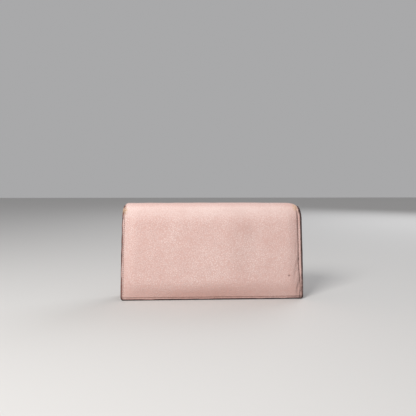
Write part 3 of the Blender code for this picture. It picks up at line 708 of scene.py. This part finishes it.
# ---- relief of the cover leather
LEFT_SEAM = 2.4  # stitches, in from the left side
GROOVE = 4.3  # the valley beside the padding on the right
FOOT_CREASE = 2.6  # the crease along the bottom
FLAP_SEAM = 3.0  # stitches, in from the flap's outline
CREASES = (  # (x, z) of both ends, how far it bows to the left, depth, width
    ((91.0, 45.0), (85.2, 19.0), 1.2, 0.45, 1.4),
    ((92.4, 24.0), (87.6, 3.2), 0.8, 0.50, 1.2),
    ((88.4, 61.0), (86.4, 50.0), 0.5, 0.25, 0.9),
    ((-86.5, 20.0), (-82.5, 12.0), 0.3, 0.15, 1.0),
)


def crease_depth(s, x):
    total = 0.0
    for (x0, z0), (x1, z1), bow, depth, width in CREASES:
        run, rise = x1 - x0, z1 - z0
        t = np.clip(((x - x0) * run + (s - z0) * rise) / (run**2 + rise**2), 0, 1)
        distance = np.hypot(x - x0 - t * run + bow * np.sin(np.pi * t), s - z0 - t * rise)
        total = total + depth * gauss(distance, width) * (0.35 + 0.65 * np.sin(np.pi * t))
    return total


def groove_place(s):
    """The valley runs nearer the edge and wanders more towards the bottom."""
    low = smooth((34 - s) / 14)
    return GROOVE - 1.1 * low + (0.12 + 0.2 * low) * waves(s, 0 * s, 17.0, 3)


def back_relief(s, x):
    half = half_at(s)
    left, right = x + half, half - x
    groove = groove_place(s)
    rise = smooth((left - LEFT_SEAM - 0.3) / 13) ** 0.8 * smooth((right - groove - 0.2) / 12) ** 0.7
    crown = PADDING * rise * smooth((s - 3.0) / 18) ** 0.75 * smooth((98 - s) / 19)
    beside = smooth((102 - s) / 12) * smooth((s - 1) / 4)
    ridge = 0.6 * gauss(right - groove + 1.6, 0.7)
    valley = 0.85 * gauss(right - groove, 0.7)
    seam = 0.20 * gauss(left - LEFT_SEAM, 0.5)
    foot = -0.6 * gauss(s - FOOT_CREASE, 0.5)
    return crown + (ridge - valley - seam) * beside + foot - crease_depth(s, x)


def flap_relief(s, x):
    half = half_at(s)
    inset = from_edge(half - np.abs(x), FLAP_END - s, FLAP_CORNER)
    down = smooth((s - FLAP_START + 6) / 14)
    stud = smooth((np.hypot(x, cover_line(s)[1] - SNAP_Z) - 7.0) / 4.0)
    stud = np.where(s > FLAP_START, stud, 1.0)
    return (0.45 * smooth((inset - 3.6) / 8) * stud - 0.15 * gauss(inset - FLAP_SEAM, 0.5)) * down


def relief(s, x):
    """How far the cover's outer face stands out at rest."""
    uneven = 0.10 * waves(x, s, 30.0, 5) + 0.045 * waves(x, s, 11.0, 6)
    return np.where(s <= TOP_MIDDLE, back_relief(s, x), flap_relief(s, x)) + uneven


def shade_and_dirt(s, x):
    """How much each point is darkened by painted shade, with some dirt: the valley, the creases, the
    seams, the foot and bottom lip, beside the padding, the right edge, and the flap's seam and edge.
    """
    half = half_at(s)
    left, right = x + half, half - x
    # Painted shade in the valley beside the padding on the right.
    back = 0.8 * gauss(right - groove_place(s) - 0.1, 0.7) * smooth((96 - s) / 8)
    # Painted shade, with some dirt, in the creases and along the left seam.
    back = back + 0.5 * np.clip(crease_depth(s, x), 0, 1) + 0.8 * gauss(left - LEFT_SEAM, 0.5)
    # Painted shade along the foot crease, and a painted contact shadow below it and on the bottom lip.
    back = back + 0.95 * gauss(s - FOOT_CREASE, 0.45) + 0.2 * smooth((FOOT_CREASE - s) / 1.0)
    back = back + 0.7 * smooth((1.7 - s) / 0.5)
    # Painted shade over the padding's flank, left of the valley.
    back = back + 0.18 * gauss(right - GROOVE - 1.5, 1.8) * smooth((92 - s) / 10)
    # Painted shade along the right edge.
    back = back + 0.95 * smooth((2.5 - right) / 0.6)
    inset = from_edge(np.minimum(left, right), FLAP_END - s, FLAP_CORNER)
    front = 0.35 * gauss(inset - FLAP_SEAM, 0.6) + 0.4 * gauss(inset - 0.8, 0.6)
    return np.clip(np.where(s <= TOP_MIDDLE, back, front), 0, 1)


# ---- cover and lining
def skin_grid(rows, end, corner):
    """(s, x) grids of the cover between its painted edges."""
    half = half_at(rows) - EDGE_BEAD
    half = half - corner_cut(np.abs(rows - end) - EDGE_BEAD, corner - EDGE_BEAD)
    x = spread(-half, half, COVER_STEPS, 1.6)
    return np.broadcast_to(rows[:, None], x.shape), x


BACK_CORNER = 3.0
# Rows of the cover's grids, closer together where it creases and bends.
back_rows = np.r_[
    np.arange(EDGE_BEAD, 10, 0.4),
    np.arange(10, 40, 0.9),
    np.arange(40, 86, 1.6),
    np.arange(86, TOP_MIDDLE - 0.3, 0.7),
    TOP_MIDDLE,
]
flap_rows = np.r_[
    TOP_MIDDLE,
    np.arange(TOP_MIDDLE + 0.7, FLAP_START + 4, 0.7),
    np.arange(FLAP_START + 4, FLAP_END - 12, 1.3),
    np.arange(FLAP_END - 12, FLAP_END - EDGE_BEAD - 0.2, 0.45),
    FLAP_END - EDGE_BEAD,
]


def cover_skin(name, rows, end, corner, flat_row):
    s, x = skin_grid(rows, end, corner)
    out = relief(s, x)
    padded_depth = np.clip(out - 0.25, 0, None)
    outer, inner = place(s, x, -out), place(s, x, COVER - padded_depth)
    return slab(name, outer, inner, LEATHER, flat_row, marks=shade_and_dirt(s, x))


def edge_bead(name, end, corner):
    """Painted edge along the sides and round the end of the cover, over its board and lining."""
    s, x = rim(TOP_MIDDLE, end, corner, EDGE_BEAD, 0.9)
    fullness = 1 + 0.12 * waves(s, x, 9.0, 11)
    total = inside_face(s)

    def profile(i):
        out, deep = EDGE_BEAD * fullness[i], total[i]
        near = [(-0.45, -0.03), (0.15, -0.09), (0.62 * out, -0.01), (0.90 * out, 0.24), (out, 0.65)]
        far = [(out, deep - 0.65), (0.90 * out, deep - 0.24), (0.62 * out, deep + 0.01)]
        return near + far + [(0.15, deep + 0.07), (-0.45, deep + 0.03)]

    return sweep(name, place(s, x, 0.0), inward_at(s), profile, EDGE)


back_skin = cover_skin("back_skin", back_rows, 0.0, BACK_CORNER, -1)
flap_skin = cover_skin("flap_skin", flap_rows, FLAP_END, FLAP_CORNER, 0)
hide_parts("back_cover", "spine_cover")
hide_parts("flap_cover")
back_edge = edge_bead("back_edge_paint", 0.0, BACK_CORNER)
flap_edge = edge_bead("flap_edge_paint", FLAP_END, FLAP_CORNER)


def lining_skin(name, rows, end, corner, flat_row):
    s, x = skin_grid(rows, end, corner)
    uneven = 0.05 * waves(x, s, 22.0, 21) * smooth((np.abs(s - end) - 2) / 6)
    depth = lining_depth(s) + LINING_GAP - 0.05 * np.clip(uneven, -1, 1)
    return slab(name, place(s, x, depth), place(s, x, depth + LINING), LINING_LEATHER, flat_row)


lining_back_rows = spread(2.0, TOP_MIDDLE, PANEL_STEPS, 1.2)[0]
lining_flap_rows = spread(TOP_MIDDLE, FLAP_END - EDGE_BEAD, PANEL_STEPS, 1.2)[0]
back_lining = lining_skin("back_lining_skin", lining_back_rows, 0.9, BACK_CORNER, -1)
flap_lining = lining_skin("flap_lining_skin", lining_flap_rows, FLAP_END, FLAP_CORNER, 0)
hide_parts("back_lining", "spine_lining")
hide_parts("flap_lining")


SEAM_START = 4.5
SEAM_POINTS = 140


def cover_seam(name, s, x, material=THREAD_MATERIAL, **thread):
    """Stitches on the cover's outer face."""
    return stitch_row(name, place(s, x, -relief(s, x)), inward_at(s), material, **thread)


def side_seam(name, side, inset, low, high, **thread):
    """Stitches up one side of the back, and over the top where high is at its middle."""
    s = np.linspace(low, high, SEAM_POINTS)
    return cover_seam(name, s, side * (half_at(s) - inset), **thread)


left_seam = side_seam("back_stitches_left", -1, LEFT_SEAM, SEAM_START, TOP_MIDDLE)
right_seam = side_seam("back_stitches_right", 1, groove_place(SEAM_START), SEAM_START, TOP_MIDDLE)
# Dirty needle holes between the left stitches, as far up as they show.
HOLE = {"material": NEEDLE_HOLE, "length": 0.8, "radius": 0.42, "sink": 0.2}
first_hole = SEAM_START + STITCH_PITCH / 2
last_hole = SEAM_START + STITCH_PITCH * (math.floor((SHOULDER_Z - SEAM_START) / STITCH_PITCH) + 0.5)
left_holes = side_seam("back_needle_holes_left", -1, LEFT_SEAM, first_hole, last_hole, **HOLE)
flap_s, flap_x = rim(TOP_MIDDLE, FLAP_END, FLAP_CORNER, FLAP_SEAM)
flap_seam = cover_seam("flap_stitches", flap_s, flap_x)
lining_path = place(flap_s, flap_x, inside_face(flap_s))
flap_lining_seam = stitch_row("flap_lining_stitches", lining_path, -inward_at(flap_s), THREAD_MATERIAL)
back_pieces = (back_skin, back_edge, back_lining, left_seam, right_seam, left_holes)
flap_pieces = (flap_skin, flap_edge, flap_lining, flap_seam, flap_lining_seam)

# ---- wadding behind the back
wad_rows = np.r_[np.arange(5.0, 12, 1.0), np.arange(12, 84, 3.0), np.arange(84, 89, 1.0)]
wad_half = half_width(wad_rows) - 8.5
wad_x = spread(-wad_half, wad_half, PANEL_STEPS * 3, 5.0)
wad_s = np.broadcast_to(wad_rows[:, None], wad_x.shape)
wad_out = COVER + CLEAR - np.clip(relief(wad_s, wad_x) - 0.3, 0, None)
wad_outer = points_at(wad_x, BACK_Y + wad_out, wad_s)
wad_inner = points_at(wad_x, layer("back_board")[0] - CLEAR, wad_s)
wadding = slab("back_wadding", wad_outer, wad_inner, WADDING)
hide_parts("back_padding")
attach(wadding, "back")

# ---- flat panels
sides = {"left": -1, "right": 1}


def panel(name, x_ends, z_ends, corners, face, back, material, creases=(1.6,), press=0.13, step=4.0):
    """A sheet in the XZ plane between x_ends(z), with rounded corners at its two ends. face and
    back are the Y of its two faces, the face being the one that shows, with creases pressed in at
    these distances from its outline."""
    z_low, z_high = z_ends
    rows = spread(z_low, z_high, PANEL_STEPS, step)[0]
    cut = corner_cut(rows - z_low, corners[0]) + corner_cut(z_high - rows, corners[1])
    low, high = x_ends(rows)
    x = spread(low + cut, high - cut, PANEL_STEPS, step)
    z = np.broadcast_to(rows[:, None], x.shape)
    side = np.minimum(x - low[:, None], high[:, None] - x)
    inset = np.minimum(from_edge(side, z - z_low, corners[0]), from_edge(side, z_high - z, corners[1]))
    pressed = sum(press * gauss(inset - crease, 0.3) for crease in creases)
    inwards = np.sign(back - face)
    return slab(name, points_at(x, face + inwards * pressed, z), points_at(x, back, z), material)


def whole(inset):
    return lambda z: (inset - half_width(z), half_width(z) - inset)


def column(side, inset, gap):
    """x_ends of a column of card slots on one side of the middle."""
    if side > 0:
        return lambda z: (gap + 0 * z, half_width(z) - inset)
    return lambda z: (inset - half_width(z), -gap + 0 * z)


def finish(piece, body, slot, *nodes):
    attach(piece, body)
    if nodes:
        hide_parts(*nodes)
    return piece


def z_range(node):
    low, high = box_mm(node)
    return low[2], high[2]


def flat_seam(name, x, y, z, away, body, slot="lining_leather"):
    """Stitches on a flat face that looks towards +Y or -Y, as away says."""
    path = points_at(x, y, z)
    inward = np.broadcast_to(np.array([0.0, -away, 0.0]), path.shape)
    finish(stitch_row(name, path, inward, THREAD_MATERIAL), body, slot)


# ---- base
base_low, base_high = box_mm("base_panel")
base = panel(
    "base_skin",
    lambda y: (base_low[0] + 0 * y, base_high[0] + 0 * y),
    (base_low[1], base_high[1]),
    (1.5, 1.5),
    base_low[2],
    base_high[2],
    LEATHER,
    creases=(2.0,),
    press=0.1,
)
laid = np.empty(len(base.data.vertices) * 3, np.float32)
base.data.vertices.foreach_get("co", laid)
laid = laid.reshape(-1, 3)[:, [0, 2, 1]].ravel()  # panel() stands it up, so it's laid flat here
base.data.vertices.foreach_set("co", laid)
keep_rest(base.data)
base.data.flip_normals()
finish(base, "back", "cover_leather", "base_panel")

# ---- front leaf
LEAF_CORNER = 4.0
LEAF_SEAM = 3.0
LEAF_SKIN_CORNERS = (1.0, LEAF_CORNER - 1.0)
leaf_face, leaf_back = layer("front_cover")[1], layer("front_lining")[0]
leaf_z = z_range("front_cover")
leaf = panel(
    "front_leaf_skin",
    whole(EDGE_BEAD),
    (leaf_z[0] + EDGE_BEAD, leaf_z[1] - EDGE_BEAD),
    LEAF_SKIN_CORNERS,
    leaf_face,
    layer("front_cover")[0],
    LEATHER,
    creases=(1.9,),
    press=0.12,
    step=2.5,
)
finish(leaf, "front_leaf", "cover_leather", "front_cover")
leaf_lining = panel(
    "front_lining_skin",
    whole(EDGE_BEAD),
    (leaf_z[0] + 2, leaf_z[1] - EDGE_BEAD),
    LEAF_SKIN_CORNERS,
    leaf_back,
    layer("front_lining")[1],
    LINING_LEATHER,
    creases=(2.2,),
)
finish(leaf_lining, "front_leaf", "lining_leather", "front_lining")


def leaf_edge():
    z, x = rim(leaf_z[0] + 0.6, leaf_z[1], LEAF_CORNER, EDGE_BEAD, 0.9)
    path = points_at(x, leaf_face, z)
    inward = np.broadcast_to(np.array([0.0, -1.0, 0.0]), path.shape)
    deep = leaf_face - leaf_back
    out = EDGE_BEAD
    profile = [(-0.45, -0.03), (0.15, -0.08), (0.62 * out, 0.0), (0.9 * out, 0.25), (out, 0.65)]
    profile += [(outward, deep - depth) for outward, depth in reversed(profile)]
    return sweep("front_leaf_edge_paint", path, inward, lambda i: profile, EDGE)


finish(leaf_edge(), "front_leaf", "cover_leather")
for label, face, away in (("outside", leaf_face, 1), ("inside", leaf_back, -1)):
    z, x = rim(leaf_z[0] + 4, leaf_z[1], LEAF_CORNER, LEAF_SEAM)
    flat_seam(f"front_leaf_stitches_{label}", x, face, z, away, "front_leaf", "cover_leather")

# ---- card slots
SLOT_INSET = half_width(4.0) - box_mm("card_slot_back_right_1")[1][0]
SLOT_GAP = box_mm("card_slot_back_right_1")[0][0]
SLOT_SEAM = 1.1  # stitches, in from a slot's side edges


def slot_seams(name, side, steps, away, body):
    """Stitches down both sides of a column of slots, over the step at each slot's top edge. steps
    are (top, face) from the lowest slot up."""
    for end in ("outer", "inner"):
        z = np.arange(5.5, steps[-1][0] + 2.5, 0.5)
        if end == "outer":
            x = side * (half_width(z) - SLOT_INSET - SLOT_SEAM)
        else:
            x = side * (SLOT_GAP + SLOT_SEAM) + 0 * z
        y = np.full(z.shape, steps[-1][1])
        for top, face in reversed(steps):
            y = np.where(z < top + 0.3, face, y)
        flat_seam(f"{name}_{end}", x, y, z, away, body)


for place_name, count, away, body in (("back", 4, 1, "back"), ("front", 2, -1, "front_leaf")):
    for label, side in sides.items():
        steps = []
        for row in range(count, 0, -1):
            node = f"card_slot_{place_name}_{label}_{row}"
            near, far = layer(node)[:: -away]
            ends = column(side, SLOT_INSET, SLOT_GAP)
            card_slot = panel(f"{node}_skin", ends, z_range(node), (2.0, 2.0), near, far, LINING_LEATHER)
            finish(card_slot, body, "lining_leather", node)
            steps.append((z_range(node)[1], near))
        slot_seams(f"card_slot_stitches_{place_name}_{label}", side, steps, away, body)

# ---- coin pocket
COIN_INSET = half_width(3.2) - box_mm("coin_rear_wall")[1][0] + 0.02
COIN_SEAM = 2.35
coin_z = z_range("coin_rear_wall")
walls = {"rear": -1, "front": 1}
for label, away in walls.items():
    node = f"coin_{label}_wall"
    near, far = layer(node)[:: -away]
    ends = whole(COIN_INSET)
    wall = panel(f"{node}_skin", ends, coin_z, (2.0, 3.0), near, far, LINING_LEATHER, (1.6, 3.1))
    finish(wall, "coin_pocket", "lining_leather", node)
    z, x = rim(coin_z[0] + 3, coin_z[1], 3.0, COIN_SEAM)
    x = x * (half_width(z) - COIN_INSET - COIN_SEAM) / (half_width(z) - COIN_SEAM)
    flat_seam(f"coin_stitches_{label}", x, near, z, away, "coin_pocket")

pocket_low, pocket_high = layer("coin_rear_wall")[1], layer("coin_front_wall")[0]
NARROW_STEPS = np.array([0.0, 0.4, 0.9])
SIDE_FOLD = 1.3  # how far the pocket's sides fold inwards
for label, side in sides.items():
    node = f"coin_side_{label}"
    z = spread(*z_range(node), PANEL_STEPS, 4.0)[0][:, None]
    y = spread(pocket_low + CLEAR, pocket_high - CLEAR, NARROW_STEPS, 0.6)[0]
    folded = SIDE_FOLD * np.cos(np.pi * (y - COIN_MIDDLE) / (pocket_high - pocket_low)) ** 2
    x = half_width(z) - COIN_INSET - 0.2 - folded
    outer, inner = (points_at(side * (x - lower), y, z) for lower in (0.0, LINING))
    finish(slab(f"{node}_skin", outer, inner, LINING_LEATHER), "coin_pocket", "lining_leather", node)
floor_low, floor_high = box_mm("coin_floor")
floor_y = spread(floor_low[1], floor_high[1], NARROW_STEPS, 0.6)[0][:, None]
floor_x = spread(floor_low[0], floor_high[0], PANEL_STEPS, 4.0)[0]
FLOOR_DIP = 0.12
dip = FLOOR_DIP * np.cos(np.pi * (floor_y - COIN_MIDDLE) / (pocket_high - pocket_low))
floor_outer = points_at(floor_x, floor_y, floor_low[2] + FLOOR_DIP - dip)
floor_inner = points_at(floor_x, floor_y, floor_high[2] - dip)
coin_floor = slab("coin_floor_skin", floor_outer, floor_inner, LINING_LEATHER)
finish(coin_floor, "coin_pocket", "lining_leather", "coin_floor")


CLOTH = 0.3
CLOTH_COLUMNS = 116


def hung_cloth(label, away):
    """The coin pocket's lining, loose enough to ripple, with a doubled hem along its top."""
    node = f"coin_lining_{label}"
    low, high = box_mm(node)
    x = np.linspace(low[0], high[0], CLOTH_COLUMNS)
    z = spread(low[2], high[2], PANEL_STEPS, 2.0)[0][:, None]
    loose = smooth((high[2] - z - 1) / 12) * smooth((z - low[2]) / 6)
    ripple = loose * (0.45 + 0.3 * waves(x, 0.35 * z, 24.0, 31 + away))
    hem = 0.14 * smooth((z - high[2] + 4.2) / 0.5)
    wall_face = low[1] if away < 0 else high[1]
    shell = wall_face - away * np.clip(ripple, 0, 0.9)
    outer, inner = points_at(x, shell, z), points_at(x, shell - away * (CLOTH + hem), z)
    cloth = slab(f"{node}_cloth", outer, inner, COIN_CLOTH)
    finish(cloth, "coin_pocket", "coin_cloth", node)


for label, away in walls.items():
    hung_cloth(label, away)


# ---- gussets
def rounded(line, rounds=3):
    """A line with its corners cut again and again, which rounds them."""
    for _ in range(rounds):
        a, b = line[:-1], line[1:]
        cut = np.stack([0.75 * a + 0.25 * b, 0.25 * a + 0.75 * b], axis=1).reshape(-1, 2)
        line = np.concatenate([line[:1], cut, line[-1:]])
    return line


def both_faces(line, thickness):
    """The two faces of a sheet, from its middle line in section."""
    normal = np.gradient(line, axis=0)[:, ::-1] * np.array([1.0, -1.0])
    normal /= np.linalg.norm(normal, axis=1, keepdims=True)
    return [line + sign * normal * thickness / 2 for sign in (-1, 1)]


GUSSET = 0.6
SKIVED = 0.2  # the gusset's leather is pared down to this where it is sewn on the coin pocket
PARED_FROM, PARED_OVER = 0.55, 0.25  # shares of the way to the pocket: where paring starts, its length
gusset_z = z_range("gusset_left_rear")


def gusset_line(panel_face, slot_face, pocket_face):
    """Plan of a folded side wall, as (inset, y) along its middle."""
    lift = math.copysign(CLEAR + GUSSET / 2, pocket_face - panel_face)
    pocket_lift = math.copysign(CLEAR + SKIVED / 2, lift)
    return rounded(
        np.array(
            [
                (1.5, panel_face + lift),
                (4.4, panel_face + lift),
                (4.4, slot_face + lift),
                (13.6, (slot_face + pocket_face) / 2),
                (8.0, pocket_face - pocket_lift),
                (COIN_INSET + 0.4, pocket_face - pocket_lift),
            ]
        )
    )


def gusset(label, side, place_name, line):
    node = f"gusset_{label}_{place_name}"
    z = spread(*gusset_z, PANEL_STEPS, 3.0)[0]
    pared = smooth((np.linspace(0, 1, len(line)) - PARED_FROM) / PARED_OVER)[:, None]
    faces = []
    for plan in both_faces(line, GUSSET + (SKIVED - GUSSET) * pared):
        x = side * (half_width(z)[:, None] - plan[:, 0])
        faces.append(points_at(x, plan[:, 1], z[:, None]))
    piece = slab(f"{node}_skin", *faces, GUSSET_LEATHER)
    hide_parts(node)
    return piece


rear_line = gusset_line(
    layer("card_slot_back_left_1")[0] - CLEAR,
    layer("card_slot_back_left_4")[1],
    layer("coin_rear_wall")[0],
)
front_line = gusset_line(
    layer("front_lining")[0], layer("card_slot_front_left_2")[0], layer("coin_front_wall")[1]
)
for label, side in sides.items():
    rear = gusset(label, side, "rear", rear_line)
    front = gusset(label, side, "front", front_line)
    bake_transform(rear)
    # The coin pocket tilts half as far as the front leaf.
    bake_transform(front)

# ---- zip
TEETH_Z = z_range("zip_teeth_rear")
TOOTH_PITCH = 3.0
TOOTH_HEAD = ((0.15, -0.95), (0.4, -0.8), (0.6, -0.3), (0.6, 1.4))  # right half, y away from the middle
TOOTH_BODY = ((0.95, 1.1), (1.05, 1.3), (1.05, 1.8), (0.8, 2.0))
TOOTH_CHAMFER = 0.16
TOOTH_END = 0.85  # the share of a tooth's outline that its chamfered ends keep
TAPE = 0.4
TAPE_COLUMNS = 112


def zip_tape(label, away):
    node = f"zip_tape_{label}"
    low, high = box_mm(node)
    far = max(abs(low[1] - COIN_MIDDLE), abs(high[1] - COIN_MIDDLE)) - TAPE / 2
    plan = rounded(
        np.array([(1.5, high[2]), (1.5, coin_z[1] - 0.5), (far, coin_z[1] - 2.5), (far, low[2])]), 2
    )
    x = np.linspace(low[0], high[0], TAPE_COLUMNS)[:, None]
    faces = [points_at(x, COIN_MIDDLE + away * edge[:, 0], edge[:, 1]) for edge in both_faces(plan, TAPE)]
    tape = slab(f"{node}_cloth", *faces, TAPE_CLOTH)
    finish(tape, "coin_pocket", "zip_tape", node)


def tooth_shape(points, faces, outline, z_low, z_high):
    """Adds a prism with chamfered ends to a list of points and faces."""
    centre = outline.mean(axis=0)
    shrunk = centre + TOOTH_END * (outline - centre)
    heights = (z_low, z_low + TOOTH_CHAMFER, z_high - TOOTH_CHAMFER, z_high)
    faces += tube(len(points), len(heights), len(outline))
    for ring, z in zip((shrunk, outline, outline, shrunk), heights):
        points.extend((x, y, z) for x, y in ring)


def mirrored(right_half):
    """A closed outline from its right half, given in order."""
    right = np.array(right_half)
    return np.concatenate([right, right[::-1] * (-1, 1)])


def zip_teeth(label, away, first):
    """Separate metal teeth, each a body clamped on the tape's edge and a head between the heads of
    the other row."""
    node = f"zip_teeth_{label}"
    low, high = box_mm(node)
    points, faces = [], []
    for x in np.arange(low[0] + first + 0.6, high[0] - 0.8, TOOTH_PITCH):
        head = mirrored(TOOTH_HEAD) * (1, away) + (x, COIN_MIDDLE)
        body = mirrored(TOOTH_BODY) * (1, away) + (x, COIN_MIDDLE)
        tooth_shape(points, faces, head, TEETH_Z[0] + 0.15, TEETH_Z[1] - 0.1)
        tooth_shape(points, faces, body, TEETH_Z[0] - 1.1, TEETH_Z[1])
    teeth = add_mesh(f"{node}_teeth", points, faces, GOLD, 35.0)
    finish(teeth, "coin_pocket", "gold_metal", node)


for (label, away), first in zip(walls.items(), (0.3, 0.3 + TOOTH_PITCH / 2)):
    zip_tape(label, away)
    zip_teeth(label, away, first)


# ---- press stud
TURNS = 64


def snap_piece(node, profile, body):
    """A (radius, y) profile turned about the press stud's axis. It is a ring unless its ends are
    on the axis."""
    on_axis = profile[0][0] == 0 and profile[-1][0] == 0
    radius, y = np.array(profile).T
    turn = np.linspace(0, 2 * np.pi, TURNS, endpoint=False)[:, None]
    points = points_at(radius * np.cos(turn), y, SNAP_Z + radius * np.sin(turn)).reshape(-1, 3)
    count, faces = len(profile), []
    for step in range(TURNS):
        here, there = step * count, (step + 1) % TURNS * count
        for k in range(count - on_axis):
            beyond = (k + 1) % count
            faces.append((here + k, here + beyond, there + beyond, there + k))
    piece = add_mesh(f"{node}_turned", points, faces, GOLD, 35.0)
    mend(piece.data, merge=1e-7)
    finish(piece, body, "gold_metal", node)


cap_base, cap_top = FLAP_Y + CLEAR, layer("snap_cap")[1]
cap_radius = box_mm("snap_cap")[1][0]
cap_rise = cap_top - cap_base
dome = []
for turn in np.linspace(0, np.pi / 2, 14)[1:-1]:
    ringed = 0.10 * gauss(turn - 0.55, 0.10)
    radius = (cap_radius - 0.35) * math.cos(turn)
    dome.append((radius, cap_base + 0.32 + (cap_rise - 0.32) * math.sin(turn) - ringed))
cap = [(0, layer("snap_cap")[0]), (1.2, layer("snap_cap")[0]), (1.2, cap_base)]
cap += [(cap_radius - 0.3, cap_base - 0.05), (cap_radius - 0.05, cap_base + 0.02)]
cap += [(cap_radius, cap_base + 0.16), (cap_radius - 0.08, cap_base + 0.30)]
cap += [(cap_radius - 0.28, cap_base + 0.36)] + dome + [(0, cap_top)]
snap_piece("snap_cap", cap, "flap")

SOCKET = 4.4  # radius
mouth, seat = layer("snap_socket")
socket = [(0, seat), (SOCKET - 0.2, seat), (SOCKET, seat - 0.2), (SOCKET, mouth + 0.35)]
socket += [(SOCKET - 0.15, mouth + 0.1)]
socket += [(3.9, mouth), (3.2, mouth), (2.85, mouth + 0.1), (2.7, mouth + 0.3), (2.75, mouth + 0.5)]
socket += [(3.3, mouth + 0.62), (3.4, mouth + 0.8), (3.4, seat - 0.5), (3.3, seat - 0.4), (0, seat - 0.4)]
snap_piece("snap_socket", socket, "flap")

foot, tip = layer("snap_stud")
stud = [(1.3, foot), (4.0, foot), (4.2, foot + 0.08), (4.2, foot + 0.17), (4.05, foot + 0.25)]
stud += [(2.3, foot + 0.27), (1.9, foot + 0.42), (1.78, foot + 0.7), (1.8, tip - 0.7)]
stud += [(2.1, tip - 0.5), (2.2, tip - 0.35), (2.2, tip - 0.2), (2.1, tip - 0.06), (1.9, tip), (1.3, tip)]
snap_piece("snap_stud", stud, "front_leaf")


def punch(piece, radius, low, high):
    """Cuts the press stud's round hole through a flat piece, with a cylinder along Y."""
    bpy.ops.mesh.primitive_cylinder_add(vertices=48, radius=radius * MM, depth=(high - low) * MM)
    cutter = bpy.context.object
    cutter.rotation_euler = (math.pi / 2, 0, 0)
    cutter.location = (0, (low + high) / 2 * MM, SNAP_Z * MM)
    cut = piece.modifiers.new("hole", "BOOLEAN")
    cut.operation = "DIFFERENCE"
    cut.solver = "EXACT"
    cut.object = cutter
    depsgraph = bpy.context.evaluated_depsgraph_get()
    cut_mesh = bpy.data.meshes.new_from_object(piece.evaluated_get(depsgraph))
    piece.modifiers.remove(cut)
    bpy.data.objects.remove(cutter, do_unlink=True)
    piece.data = cut_mesh
    keep_rest(cut_mesh)


punch(flap_lining, SOCKET + 0.2, layer("flap_lining")[0], FLAP_Y - COVER)

# ---- pieces kept from the CAD
KEPT = {
    BOARD: ("back_board", "flap_board", "front_board", "base_board"),
    STEEL: ("snap_spring",),
    GOLD: ("snap_post", "zip_slider", "zip_pull", "zip_top_stop", "zip_bottom_stop"),
}
for material, names in KEPT.items():
    for name in names:
        node = NODES[name]
        for socket in node.material_slots:
            socket.material = material
        bevel = node.modifiers.new("soft_edges", "BEVEL")
        bevel.width = (0.12 if material is GOLD else 0.08) * MM
        bevel.segments = 2
        bevel.limit_method = "ANGLE"
        bevel.harden_normals = True

# ---- transforms baked into the pieces on both sides of the top
for piece in back_pieces:
    bend_back(piece)
for piece in flap_pieces:
    bend_front(piece)

# ---- stage, lights and camera
CAMERA_TURN = math.radians(2.4)  # the camera stands a little to the left
CAMERA_DISTANCE = 419.5
CAMERA_HEIGHT = 117.0
CAMERA_ASIDE = -4.9
forward = Vector((math.sin(CAMERA_TURN), math.cos(CAMERA_TURN), 0))
rightward = Vector((math.cos(CAMERA_TURN), -math.sin(CAMERA_TURN), 0))
camera_data = bpy.data.cameras.new("camera")
camera_data.lens = 35
camera_data.sensor_width = 36
camera_data.shift_y = -0.0505
camera_data.clip_start = 0.01
camera = add_object("camera", camera_data)
eye = Vector((0, BACK_Y, CAMERA_HEIGHT)) - CAMERA_DISTANCE * forward + CAMERA_ASIDE * rightward
camera.location = eye * MM
camera.rotation_euler = (math.pi / 2, 0, -CAMERA_TURN)
bpy.context.scene.camera = camera

FLOOR = 4.0  # half its width, in metres
floor_corners = [(-FLOOR, -FLOOR, 0), (FLOOR, -FLOOR, 0), (FLOOR, FLOOR, 0), (-FLOOR, FLOOR, 0)]
floor_mesh = bpy.data.meshes.new("floor")
floor_mesh.from_pydata(floor_corners, [], [(0, 1, 2, 3)])
floor_mesh.materials.append(Nodes("floor").done((0.62, 0.61, 0.60), 0.9))
add_object("floor", floor_mesh)


def area_light(name, place_at, size, power, colour=(1, 1, 1)):
    light = bpy.data.lights.new(name, "AREA")
    light.shape = "RECTANGLE"
    light.size, light.size_y = size
    light.energy = power
    light.color = colour
    lamp = add_object(name, light)
    lamp.location = place_at
    aim = Vector((0, 0, HEIGHT * MM / 2)) - Vector(place_at)
    lamp.rotation_euler = aim.to_track_quat("-Z", "Y").to_euler()


area_light("key", (-0.42, -0.62, 0.62), (0.35, 0.35), 7.5, (1.0, 0.985, 0.96))
area_light("fill", (0.9, 0.9, 0.9), (1.0, 1.0), 8.0, (0.95, 0.97, 1.0))
world = bpy.data.worlds.new("studio")
world.use_nodes = True
sky = world.node_tree.nodes["Background"].inputs
sky["Color"].default_value = (0.72, 0.72, 0.73, 1)
sky["Strength"].default_value = 0.55
bpy.context.scene.world = world
bpy.context.scene.view_settings.view_transform = "Standard"
